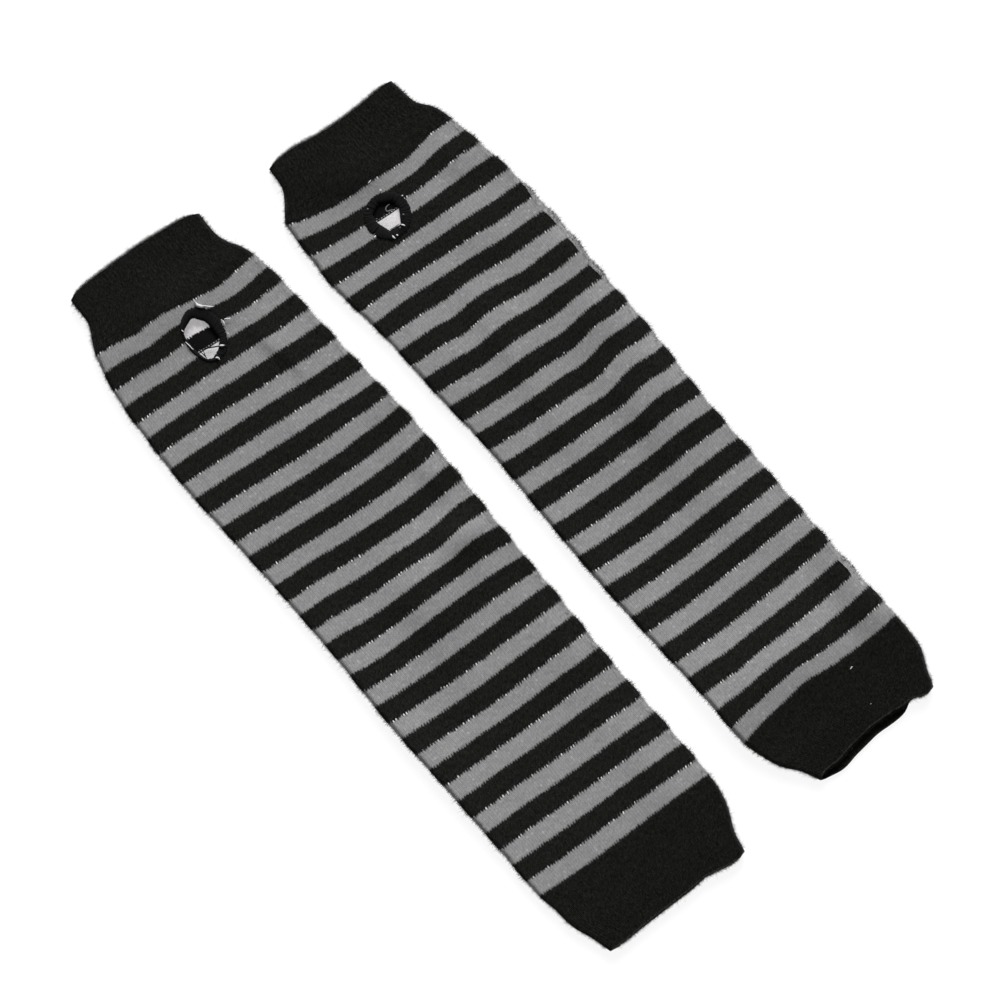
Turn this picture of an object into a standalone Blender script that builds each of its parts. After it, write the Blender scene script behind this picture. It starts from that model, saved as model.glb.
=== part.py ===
"""A pair of striped, knitted arm warmers, laid flat side by side.

Each sleeve is one knitted tube with a ribbed hand cuff, a striped body with an
overcast thumb hole, and an arm cuff. The tube is flattened: its lower layer
rests on the surface at z = 0 and its upper layer lies on it, joined by soft
folds at the left and right. +X runs across the pair, +Y runs along the sleeves
towards the hand, and the origin is below the middle of the pair.

A place on a sleeve is given by `along`, the knitted distance from the hand
edge, and `across`, from -1 at the left fold to 1 at the right fold. Both are
turned into a plan position by the sections below. Sizes are in millimetres and
are scaled to metres when the meshes are made.
"""

import math
from collections import namedtuple

import bmesh
import bpy
from mathutils import Matrix, Vector

MM = 0.001

# Knitted lengths of one sleeve.
HAND_CUFF = 23.0
STRIPE = 7.8
STRIPES = 35
ARM_CUFF = 32.0
BODY_END = HAND_CUFF + STRIPES * STRIPE
LENGTH = BODY_END + ARM_CUFF

# The cloth and how the flattened tube lies.
WALL = 1.2
SEAM = 0.3
FOLD_RADIUS = 1.8
LAYER_GAP = 0.9
FOLD_FADE = 7.0
MOUTH_FADE = 9.0
LEFT_SCALLOP = 0.15
RIGHT_SCALLOP = 0.35
SCALLOP_PLACE = 0.62

# The 1 x 1 rib of the hand cuff's welt, raised on the face that shows. It fades
# into plain knit over RIB_FADE and is gone at RIB_END from the hand edge.
RIBS = 36
RIB_HEIGHT = 0.45
RIB_END = 19.5
RIB_FADE = 7.5
RIB_STEPS_PER_INNER = 3

# Steps of the meshes: across a layer, round a fold from its top to its middle,
# and along the cuffs, from the hand edge and from the body's end. The body has
# a step at each stripe's middle, and its lower layer at each grey one's.
UPPER_STEPS = 14
LOWER_STEPS = 12
FOLD_ANGLES = (45.0, 0.0)
HAND_CUFF_ROWS = (0.0, 4.0, 8.0, 12.0, 16.0, 19.5)
ARM_CUFF_ROWS = (6.0, 12.0, 18.0, 24.0, 28.5, 32.0)
SHARP_ANGLE = 50.0

# The overcast edge of a thumb hole: a lip through the hole and a band on the face.
LIP = 0.8
BAND = 0.9
HOLE_SEGMENTS = 32
HOLE_INSET = 30.0
CUTTER_HEIGHT = 6.0

# One course of a sleeve: where its left and right folds are, its middle y, how
# much it tilts, bows and sways between them, and how far its ends draw back.
Section = namedtuple("Section", "along left right y tilt bow sway corner")

SECTIONS = {
    "left": (
        Section(0.0, -77.4, -17.3, 164.2, -3.1, 0.9, 0.0, 1.8),
        Section(7.0, -77.5, -17.7, 157.5, -3.4, 0.3, -0.5, 0.2),
        Section(12.5, -77.8, -17.3, 151.6, -3.8, -0.4, -1.2, 0.0),
        Section(16.0, -79.2, -15.5, 147.4, -4.1, -0.8, -1.6, 0.0),
        Section(19.5, -81.6, -12.8, 143.0, -4.3, -1.1, -2.0, 0.0),
        Section(23.0, -83.7, -11.3, 138.4, -4.5, -1.5, -2.6, 0.0),
        Section(38.6, -87.4, -9.5, 123.6, -4.2, 0.2, -0.7, 0.0),
        Section(54.2, -89.1, -8.6, 108.2, -4.2, 0.3, -1.2, 0.0),
        Section(85.4, -90.3, -7.0, 77.8, -5.0, 0.2, -0.4, 0.0),
        Section(116.6, -89.2, -5.2, 48.5, -3.8, -1.9, -1.2, 0.0),
        Section(147.8, -88.2, -5.3, 17.9, -3.7, -1.4, -0.8, 0.0),
        Section(179.0, -87.9, -5.9, -12.5, -4.0, -0.4, 2.8, 0.0),
        Section(210.2, -88.6, -6.0, -43.1, -3.1, -1.0, 0.6, 0.0),
        Section(241.4, -87.8, -6.5, -75.4, -2.9, -0.5, 0.0, 0.0),
        Section(272.6, -87.1, -6.0, -108.6, -3.1, -0.1, 0.4, 0.0),
        Section(296.0, -86.8, -5.8, -132.4, -3.1, -0.5, 1.4, 0.0),
        Section(304.0, -85.4, -6.3, -140.6, -2.6, -0.4, 0.6, 0.0),
        Section(312.0, -84.5, -8.6, -149.0, -2.2, -0.2, 0.2, 0.0),
        Section(320.0, -81.5, -12.4, -157.2, -1.8, 0.2, 0.0, 0.0),
        Section(328.0, -79.3, -14.2, -166.1, -1.6, 0.4, 0.0, -0.6),
    ),
    "right": (
        Section(0.0, 14.7, 73.2, 154.5, -2.1, -2.2, -1.0, 1.6),
        Section(7.0, 14.5, 74.1, 147.1, -2.9, -2.7, -0.1, 0.2),
        Section(12.0, 13.6, 75.2, 141.8, -3.5, -3.1, 0.5, 0.0),
        Section(16.0, 11.1, 78.9, 137.3, -4.0, -3.5, 1.1, 0.0),
        Section(19.5, 8.0, 80.9, 133.2, -4.4, -3.9, 1.6, 0.0),
        Section(23.0, 5.9, 81.8, 129.4, -4.8, -4.1, 2.0, 0.0),
        Section(38.6, 4.8, 84.1, 115.0, -4.1, -2.0, 0.8, 0.0),
        Section(54.2, 4.2, 86.3, 99.9, -4.3, -0.3, 0.4, 0.0),
        Section(85.4, 7.1, 88.5, 71.1, -4.3, 0.3, -0.3, 0.0),
        Section(116.6, 8.2, 88.1, 43.1, -3.4, -1.1, 0.2, 0.0),
        Section(147.8, 9.9, 88.5, 14.1, -2.5, -1.6, 0.6, 0.0),
        Section(179.0, 9.7, 87.4, -16.8, -2.4, -1.0, 1.2, 0.0),
        Section(210.2, 9.6, 87.7, -47.9, -2.3, -1.0, 1.4, 0.0),
        Section(241.4, 10.6, 88.3, -79.0, -1.8, -1.2, 0.8, 0.0),
        Section(272.6, 12.2, 89.1, -110.6, -0.7, -1.0, -0.8, 0.0),
        Section(296.0, 12.6, 90.0, -134.9, 0.2, 1.5, -2.8, 0.0),
        Section(304.0, 14.6, 90.1, -143.0, 0.1, 0.9, -1.5, 0.0),
        Section(312.0, 17.6, 89.3, -151.0, 0.0, 0.4, -0.5, 0.0),
        Section(320.0, 23.0, 86.0, -158.6, 0.0, 0.0, 0.0, 0.0),
        Section(328.0, 26.2, 83.4, -166.6, 0.0, -0.2, 0.0, -0.8),
    ),
}

# One soft fold of the upper layer: its middle, its half length and half width,
# how far it is turned from +X, how high it stands (a trough is negative), and
# how far it pushes the courses towards the hand.
Fold = namedtuple("Fold", "x y length width turn height drift")

FOLDS = {
    "left": (
        Fold(-67.0, 139.0, 15.0, 6.0, 100.0, -0.5, -1.1),
        Fold(-53.0, 143.0, 17.0, 6.0, 95.0, 0.9, 0.8),
        Fold(-29.0, 131.0, 14.0, 6.0, 120.0, -0.5, -1.0),
        Fold(-24.0, 148.0, 14.0, 6.0, 80.0, 0.8, 0.2),
        Fold(-30.0, 94.0, 17.0, 5.0, 92.0, 0.8, 0.3),
        Fold(-18.0, 60.0, 13.0, 7.0, 30.0, 0.9, 0.7),
        Fold(-50.0, 62.0, 20.0, 9.0, 160.0, -0.4, -0.5),
        Fold(-76.0, 10.0, 20.0, 9.0, 70.0, 0.9, 0.8),
        Fold(-31.0, 1.0, 13.0, 8.0, 100.0, -0.4, -0.8),
        Fold(-14.0, 3.0, 15.0, 7.0, 75.0, 1.1, 1.0),
        Fold(-50.0, -22.0, 22.0, 8.0, 5.0, 0.9, 0.7),
        Fold(-52.0, -60.0, 18.0, 8.0, 170.0, -0.4, -0.6),
        Fold(-26.0, -84.0, 24.0, 8.0, 100.0, 0.7, 0.3),
        Fold(-68.0, -97.0, 22.0, 8.0, 80.0, 0.8, 0.4),
        Fold(-30.0, -150.0, 16.0, 7.0, 110.0, 0.8, 0.0),
    ),
    "right": (
        Fold(20.0, 141.0, 16.0, 6.0, 55.0, 0.9, 0.0),
        Fold(43.0, 128.0, 9.0, 6.0, 10.0, 0.3, 0.7),
        Fold(57.0, 123.0, 13.0, 6.0, 80.0, -0.5, -0.7),
        Fold(72.0, 124.0, 16.0, 6.0, 95.0, 0.9, 0.8),
        Fold(25.0, 84.0, 16.0, 8.0, 160.0, 0.8, 0.8),
        Fold(70.0, 82.0, 14.0, 7.0, 60.0, -0.4, -0.7),
        Fold(32.0, 60.0, 17.0, 6.0, 85.0, -0.5, -1.0),
        Fold(47.0, 55.0, 20.0, 7.0, 80.0, 1.0, 0.6),
        Fold(71.0, 56.0, 12.0, 8.0, 150.0, -0.4, -1.1),
        Fold(60.0, 12.0, 32.0, 6.0, 92.0, -0.5, -1.1),
        Fold(74.0, 14.0, 34.0, 6.0, 96.0, 1.1, 0.8),
        Fold(27.0, -10.0, 22.0, 8.0, 85.0, 0.7, 0.2),
        Fold(40.0, -78.0, 24.0, 9.0, 170.0, 0.7, 0.3),
        Fold(28.0, -112.0, 14.0, 7.0, 60.0, -0.4, -0.9),
        Fold(46.0, -134.0, 12.0, 8.0, 90.0, 1.0, 1.2),
        Fold(54.0, -158.0, 26.0, 8.0, 0.0, 0.9, 0.0),
    ),
}

# One wave of a mouth's edge: which mouth and layers it is in, where it is, how
# wide, how square (2 is a bell, 4 is flatter on top), and how far it shifts the
# edge towards the hand.
MouthWave = namedtuple("MouthWave", "mouth layers across spread power shift")

MOUTH_WAVES = {
    "left": (
        MouthWave("hand", "both", 0.15, 0.25, 2, 0.4),
        MouthWave("arm", "both", 0.45, 0.15, 2, 0.8),
        MouthWave("arm", "both", 0.85, 0.2, 2, -1.1),
        MouthWave("arm", "upper", -0.1, 0.6, 4, 0.6),
    ),
    "right": (
        MouthWave("hand", "both", -0.55, 0.25, 2, 0.7),
        MouthWave("arm", "both", -0.65, 0.2, 2, -1.3),
        MouthWave("arm", "both", 0.0, 0.2, 2, 0.7),
        MouthWave("arm", "both", 0.66, 0.13, 2, 2.5),
        MouthWave("arm", "upper", -0.17, 0.62, 4, 4.4),
    ),
}

# A thumb hole: the opening's middle and half sizes, the outer edge of its band,
# and how far both are turned.
ThumbHole = namedtuple("ThumbHole", "x y half_x half_y band_x band_y band_half_x band_half_y turn")

THUMB_HOLES = {
    "left": ThumbHole(-47.6, 121.5, 5.4, 9.0, -46.2, 122.0, 8.3, 11.6, -8.0),
    "right": ThumbHole(38.5, 111.5, 4.8, 5.6, 38.5, 111.3, 9.2, 9.2, 0.0),
}

# One column of a mesh: at a fold, `hand` is -1 or 1 and the angle is measured
# from the fold's middle; on a layer, `hand` is 0 and `place` runs from -1 to 1.
Column = namedtuple("Column", "hand angle place crest has_inner")

Look = namedtuple("Look", "name colour roughness")
BLACK_YARN = Look("black_yarn", (0.012, 0.012, 0.011), 0.95)
GREY_YARN = Look("grey_yarn", (0.30, 0.30, 0.30), 0.95)
BLACK_THREAD = Look("black_thread", (0.010, 0.010, 0.010), 0.80)


def section_at(side, along):
    """The section at a distance from the hand edge, on smooth curves through the rows."""
    rows = SECTIONS[side]
    last = len(rows) - 1
    low = max(i for i in range(last) if i == 0 or rows[i].along <= along)
    span = rows[low + 1].along - rows[low].along
    step = (along - rows[low].along) / span

    def slope(i, column):
        before, after = rows[max(i - 1, 0)], rows[min(i + 1, last)]
        return (after[column] - before[column]) / (after.along - before.along)

    values = []
    for column in range(len(rows[0])):
        start, end = rows[low][column], rows[low + 1][column]
        leave, arrive = slope(low, column) * span, slope(low + 1, column) * span
        values.append(
            start * (2 * step**3 - 3 * step**2 + 1)
            + leave * (step**3 - 2 * step**2 + step)
            + end * (3 * step**2 - 2 * step**3)
            + arrive * (step**3 - step**2)
        )
    return Section(*values)


def stripe_swell(along):
    """From 1 where a black stripe stands out most to -1 between them, and 0 on the cuffs."""
    into_body = min(along - HAND_CUFF, BODY_END - along)
    phase = (along - HAND_CUFF) / (2.0 * STRIPE) - 0.5 - 0.5 * SCALLOP_PLACE
    return math.cos(2.0 * math.pi * phase) * min(max(into_body / STRIPE, 0.0), 1.0)


def fold_places(side, along):
    """Where the left and right folds of a course lie."""
    section = section_at(side, along)
    swell = stripe_swell(along)
    return section.left - LEFT_SCALLOP * swell, section.right + RIGHT_SCALLOP * swell


def half_width(side, along):
    left, right = fold_places(side, along)
    return (right - left) / 2.0


def fold_strength(fold, x, y):
    """How much of a fold's height a plan position takes, from 0 to 1."""
    turn = math.radians(fold.turn)
    on_x, on_y = x - fold.x, y - fold.y
    lengthwise = (on_x * math.cos(turn) + on_y * math.sin(turn)) / fold.length
    sideways = (on_y * math.cos(turn) - on_x * math.sin(turn)) / fold.width
    return math.exp(-(lengthwise**2) - sideways**2)


def mouth_shift(side, along, across, upper):
    """How far the waves of a mouth's edge shift a point; `upper` is 1 on the upper layer."""
    shift = 0.0
    for wave in MOUTH_WAVES[side]:
        from_mouth = along if wave.mouth == "hand" else LENGTH - along
        share = upper if wave.layers == "upper" else 1.0
        bell = math.exp(-abs((across - wave.across) / wave.spread) ** wave.power)
        shift += wave.shift * share * bell * math.exp(-((from_mouth / MOUTH_FADE) ** 2))
    return shift


def plan(side, along, across, upper):
    """Plan position of a point of the tube; `upper` is 1 on the upper layer and 0 below."""
    section = section_at(side, along)
    left, right = fold_places(side, along)
    x = (left + right) / 2.0 + across * (right - left) / 2.0
    y = section.y + section.tilt * across + section.bow * (1.0 - across**2)
    y += section.sway * (across - across**3) - section.corner * across**8
    y += mouth_shift(side, along, across, upper)
    y += sum(fold.drift * fold_strength(fold, x, y) for fold in FOLDS[side])
    return x, y


def upper_height(side, x, y, inset):
    """Height of the upper layer's outer face, `inset` in from the nearer fold."""
    lying = 2.0 * WALL + LAYER_GAP
    lying += sum(fold.height * fold_strength(fold, x, y) for fold in FOLDS[side])
    near_fold = math.exp(-max(inset - FOLD_RADIUS, 0.0) / FOLD_FADE)
    return 2.0 * FOLD_RADIUS * near_fold + lying * (1.0 - near_fold)


def layer_columns(layer, steps, ribbed=False):
    """The columns of the upper (1) or lower (-1) layer, from the left fold's middle to the right's."""
    columns = [Column(-1, layer * angle, 0.0, 0.0, True) for angle in reversed(FOLD_ANGLES)]
    for step in range(steps + 1):
        place = 2.0 * step / steps - 1.0
        crest = RIB_HEIGHT if ribbed and step % 2 else 0.0
        has_inner = not ribbed or step % RIB_STEPS_PER_INNER == 0
        columns.append(Column(0, layer * 90.0, place, crest, has_inner))
    columns += [Column(1, layer * angle, 0.0, 0.0, True) for angle in FOLD_ANGLES]
    return columns


def tube_columns(upper_steps, ribbed=False):
    """The columns all round a closed tube."""
    lower = layer_columns(-1, LOWER_STEPS)
    return layer_columns(1, upper_steps, ribbed) + lower[-2:0:-1]


def rib_share(along):
    """How much of the ribs' height is left at a distance from the hand edge."""
    return min(max((RIB_END - along) / RIB_FADE, 0.0), 1.0)


def column_point(side, along, column, outer, parting):
    """A point of a column's outer or inner skin; `parting` lifts the open edge of a half tube."""
    half = half_width(side, along)
    turn = math.radians(column.angle)
    if column.hand:
        radius = FOLD_RADIUS if outer else FOLD_RADIUS - WALL
        across = column.hand * (1.0 - (FOLD_RADIUS - radius * math.cos(turn)) / half)
        x, y = plan(side, along, across, (1.0 + math.sin(turn)) / 2.0)
        z = FOLD_RADIUS + radius * math.sin(turn)
        if column.angle == 0.0:
            z += parting
        return x, y, z
    across = column.place * (1.0 - FOLD_RADIUS / half)
    if column.angle < 0.0:
        x, y = plan(side, along, across, 0.0)
        return x, y, 0.0 if outer else WALL
    x, y = plan(side, along, across, 1.0)
    z = upper_height(side, x, y, half * (1.0 - abs(across)))
    return x, y, z + column.crest * rib_share(along) if outer else z - WALL


def add_strip(bm, first, second, closed):
    """Quads between two equal chains of vertices."""
    count = len(first) if closed else len(first) - 1
    for i in range(count):
        j = (i + 1) % len(first)
        bm.faces.new((first[i], first[j], second[j], second[i]))


def add_rim(bm, outer, inner, columns, closed):
    """The wall's edge at a mouth, where the outer skin may have more columns than the inner."""
    carriers = [i for i, column in enumerate(columns) if column.has_inner]
    spans = list(zip(carriers, carriers[1:]))
    if closed:
        spans.append((carriers[-1], len(columns)))
    for j, (start, end) in enumerate(spans):
        here, there = inner[j], inner[(j + 1) % len(inner)]
        for i in range(start, end):
            bm.faces.new((here, outer[i], outer[(i + 1) % len(outer)]))
        bm.faces.new((here, outer[end % len(outer)], there))


def tube_wall(side, alongs, columns, closed, parting=0.0):
    """A mesh of the wall between the outer and inner skins of a tube, or of half a tube."""
    bm = bmesh.new()
    skins = []
    for outer in (True, False):
        kept = [column for column in columns if outer or column.has_inner]
        skins.append([
            [
                bm.verts.new(Vector(column_point(side, along, column, outer, parting)) * MM)
                for column in kept
            ]
            for along in alongs
        ])
    for skin in skins:
        for row, next_row in zip(skin, skin[1:]):
            add_strip(bm, row, next_row, closed)
    outer_skin, inner_skin = skins
    for row in (0, -1):
        add_rim(bm, outer_skin[row], inner_skin[row], columns, closed)
    if not closed:
        for column in (0, -1):
            outer_edge = [row[column] for row in outer_skin]
            inner_edge = [row[column] for row in inner_skin]
            add_strip(bm, outer_edge, inner_edge, closed=False)
    return bm


def add_object(name, bm, collection):
    """Make an object of a mesh whose faces all point out."""
    bmesh.ops.recalc_face_normals(bm, faces=bm.faces)
    mesh = bpy.data.meshes.new(name)
    bm.to_mesh(mesh)
    bm.free()
    piece = bpy.data.objects.new(name, mesh)
    collection.objects.link(piece)
    return piece


def finish_piece(piece, look):
    """Give a piece its own material and smooth shading."""
    material = bpy.data.materials.new(f"{piece.name}_{look.name}")
    material.use_nodes = True
    shader = material.node_tree.nodes["Principled BSDF"]
    shader.inputs["Base Color"].default_value = (*look.colour, 1.0)
    shader.inputs["Roughness"].default_value = look.roughness
    shader.inputs["Metallic"].default_value = 0.0
    material.diffuse_color = (*look.colour, 1.0)
    piece.data.materials.append(material)
    piece.data.shade_smooth()
    piece.data.set_sharp_from_angle(angle=math.radians(SHARP_ANGLE))


def ellipse_point(x, y, half_x, half_y, turn, angle):
    """A plan point of an ellipse that is turned about its middle."""
    tilt = math.radians(turn)
    on_x, on_y = half_x * math.cos(angle), half_y * math.sin(angle)
    return Vector((
        x + on_x * math.cos(tilt) - on_y * math.sin(tilt),
        y + on_x * math.sin(tilt) + on_y * math.cos(tilt),
    ))


def thumb_cutter(side, collection):
    """An upright elliptical prism that cuts a thumb hole, clear of the edging's lip."""
    hole = THUMB_HOLES[side]
    margin = LIP + SEAM
    bm = bmesh.new()
    bmesh.ops.create_cone(
        bm, cap_ends=True, segments=HOLE_SEGMENTS, radius1=1.0, radius2=1.0, depth=1.0
    )
    size = (hole.half_x + margin, hole.half_y + margin, CUTTER_HEIGHT)
    bmesh.ops.scale(bm, vec=size, verts=bm.verts)
    cutter = add_object(f"{side}_thumb_cutter", bm, collection)
    place = Matrix.Translation(Vector((hole.x, hole.y, WALL + CUTTER_HEIGHT / 2.0 + SEAM)))
    turned = place @ Matrix.Rotation(math.radians(hole.turn), 4, "Z")
    cutter.data.transform(Matrix.Scale(MM, 4) @ turned)
    cutter.hide_render = True
    cutter.display_type = "WIRE"
    return cutter


def cut_hole(piece, cutter):
    cut = piece.modifiers.new("thumb_hole", "BOOLEAN")
    cut.operation = "DIFFERENCE"
    cut.solver = "EXACT"
    cut.object = cutter


def thumb_edging(side):
    """The ring of thread round a thumb hole: a lip through the hole and a band on the face."""
    hole = THUMB_HOLES[side]
    bm = bmesh.new()
    rings = []
    for i in range(HOLE_SEGMENTS):
        angle = 2.0 * math.pi * i / HOLE_SEGMENTS
        opening = ellipse_point(hole.x, hole.y, hole.half_x, hole.half_y, hole.turn, angle)
        lip = ellipse_point(
            hole.x, hole.y, hole.half_x + LIP, hole.half_y + LIP, hole.turn, angle
        )
        band = ellipse_point(
            hole.band_x, hole.band_y, hole.band_half_x, hole.band_half_y, hole.turn, angle
        )
        profile = (
            (opening, -WALL),
            (opening, SEAM + 0.5 * BAND),
            (opening.lerp(band, 0.25), SEAM + BAND),
            (opening.lerp(band, 0.75), SEAM + BAND),
            (band, SEAM),
            (lip, SEAM),
            (lip, -WALL),
        )
        ring = []
        for spot, above_face in profile:
            z = upper_height(side, spot.x, spot.y, HOLE_INSET) + above_face
            ring.append(bm.verts.new(Vector((spot.x, spot.y, z)) * MM))
        rings.append(ring)
    for ring, next_ring in zip(rings, rings[1:] + rings[:1]):
        add_strip(bm, ring, next_ring, closed=True)
    return bm


def make_sleeve(side, sleeve, cutters):
    """All the pieces of one arm warmer."""
    half_seam = SEAM / 2.0
    hand_cuff_rows = [*HAND_CUFF_ROWS, HAND_CUFF - half_seam]
    middles = [HAND_CUFF + STRIPE * (i + 0.5) for i in range(STRIPES)]
    upper_rows = [HAND_CUFF + half_seam, *middles, BODY_END - half_seam]
    lower_rows = [HAND_CUFF + half_seam, *middles[::2], BODY_END - half_seam]
    arm_cuff_rows = [BODY_END + half_seam, *(BODY_END + row for row in ARM_CUFF_ROWS)]

    bm = tube_wall(side, hand_cuff_rows, tube_columns(2 * RIBS, ribbed=True), closed=True)
    finish_piece(add_object(f"{side}_hand_cuff", bm, sleeve), BLACK_YARN)

    bm = tube_wall(side, upper_rows, layer_columns(1, UPPER_STEPS), False, half_seam)
    upper = add_object(f"{side}_tube_top", bm, sleeve)
    cut_hole(upper, thumb_cutter(side, cutters))
    finish_piece(upper, GREY_YARN)

    bm = tube_wall(side, lower_rows, layer_columns(-1, LOWER_STEPS), False, -half_seam)
    finish_piece(add_object(f"{side}_tube_bottom", bm, sleeve), GREY_YARN)

    finish_piece(add_object(f"{side}_thumb_edging", thumb_edging(side), sleeve), BLACK_THREAD)

    bm = tube_wall(side, arm_cuff_rows, tube_columns(UPPER_STEPS), closed=True)
    finish_piece(add_object(f"{side}_arm_cuff", bm, sleeve), BLACK_YARN)


def main():
    for thing in list(bpy.data.objects):
        bpy.data.objects.remove(thing, do_unlink=True)
    scene = bpy.context.scene
    sleeves = bpy.data.collections.new("arm_warmers")
    cutters = bpy.data.collections.new("cutters")
    scene.collection.children.link(sleeves)
    scene.collection.children.link(cutters)
    for side in ("left", "right"):
        make_sleeve(side, sleeves, cutters)


main()
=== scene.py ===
"""The looks of a pair of striped, knitted arm warmers, laid flat side by side.

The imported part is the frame. Every node of it is replaced by a finer piece of
the same form: seamless knitted tubes with a rim at each mouth, overcast thumb
holes, loose threads and the fuzz of the yarn. A place on a sleeve is given by
`along`, the knitted distance from the hand edge, and `across`, from -1 at the
left fold to 1 at the right fold. Sizes are in millimetres until the meshes are
made.
"""

import math
from collections import namedtuple

import bpy
import numpy as np
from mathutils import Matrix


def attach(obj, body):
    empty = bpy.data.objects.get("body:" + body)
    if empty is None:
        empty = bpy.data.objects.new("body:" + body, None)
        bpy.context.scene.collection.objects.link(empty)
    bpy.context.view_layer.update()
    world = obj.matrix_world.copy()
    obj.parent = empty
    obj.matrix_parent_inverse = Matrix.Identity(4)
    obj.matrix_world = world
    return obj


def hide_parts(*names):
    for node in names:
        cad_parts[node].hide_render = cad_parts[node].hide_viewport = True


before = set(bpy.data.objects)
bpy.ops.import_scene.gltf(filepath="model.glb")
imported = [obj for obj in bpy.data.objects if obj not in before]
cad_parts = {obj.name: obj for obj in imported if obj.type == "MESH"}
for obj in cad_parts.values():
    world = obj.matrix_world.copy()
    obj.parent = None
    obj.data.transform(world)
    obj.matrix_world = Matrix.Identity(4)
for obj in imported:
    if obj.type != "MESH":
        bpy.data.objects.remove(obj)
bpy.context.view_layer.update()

MM = 0.001
SIDES = ("left", "right")


def table(kind, *rows):
    """Rows of numbers as named tuples of one kind."""
    return tuple(kind(*row) for row in rows)


# Knitted lengths of one sleeve, and how the flattened tube lies.
HAND_CUFF = 23.0
STRIPE = 7.8
STRIPES = 35
ARM_CUFF = 32.0
BODY_END = HAND_CUFF + STRIPES * STRIPE
LENGTH = BODY_END + ARM_CUFF
WALL = 1.2
FOLD_RADIUS = 1.8
LAYER_GAP = 0.9
FOLD_FADE = 7.0
MOUTH_FADE = 9.0
DRIFT_FADE = 14.0
LEFT_SCALLOP = 0.15
RIGHT_SCALLOP = 0.35
SCALLOP_PLACE = 0.62
# A place this far in from the folds isn't lifted by them.
OPEN_FACE = 40.0

# The cloth's unevenness: how many waves, how long they are, and how high for a
# millimetre of their length.
SMALL_WAVES = 14
SMALL_WAVE_LENGTHS = (9.0, 32.0)
SMALL_WAVE_HEIGHT = 0.0009

# The knit: wales on a layer and round a fold, how wide a wale is, and the courses
# of a stripe. A stitch's strands fall by STITCH_SLOPE courses in one wale. A
# stripe's edge falls by EDGE_SLOPE, lies EDGE_SHIFT courses late, and its teeth
# lean by LEAN of a wale in a course. The tube ends JOINT inside the arm cuff.
LAYER_WALES = 67
FOLD_WALES = 5
WALES = 2 * (LAYER_WALES + FOLD_WALES)
WALE_WIDTH = 1.17
COURSES = 8
COURSE = STRIPE / COURSES
JOINT = 1.2
STITCH_SLOPE = 2.1
EDGE_SLOPE = 1.5
EDGE_SHIFT = 0.06
LEAN = 0.16
WALE_RELIEF = (0.0, 0.08, 0.05, 0.08)
ROWS_PER_STRIPE = 4
INNER_ROWS_PER_STRIPE = 2

# The cuffs: the hand welt is a 1 x 1 rib, and the arm welt shows the wales more.
# Each welt is this tall and ends over twice its blend; rows are those of the mesh.
HAND_RIBS = 36
FOLD_RIBS = 3
RIB_PROFILE = (0.0, 0.07, 0.12, 0.14, 0.12, 0.07)
HAND_WELT = 14.0
HAND_BLEND = 3.0
HAND_ROWS = 23
ARM_WELT = 17.0
ARM_BLEND = 2.0
ARM_ROWS = 27
ARM_WELT_RELIEF = 1.8

# One course of a sleeve: where its left and right folds are, its middle y, how
# much it tilts, bows and sways between them, and how far its ends draw back.
Section = namedtuple("Section", "along left right y tilt bow sway corner")

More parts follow.
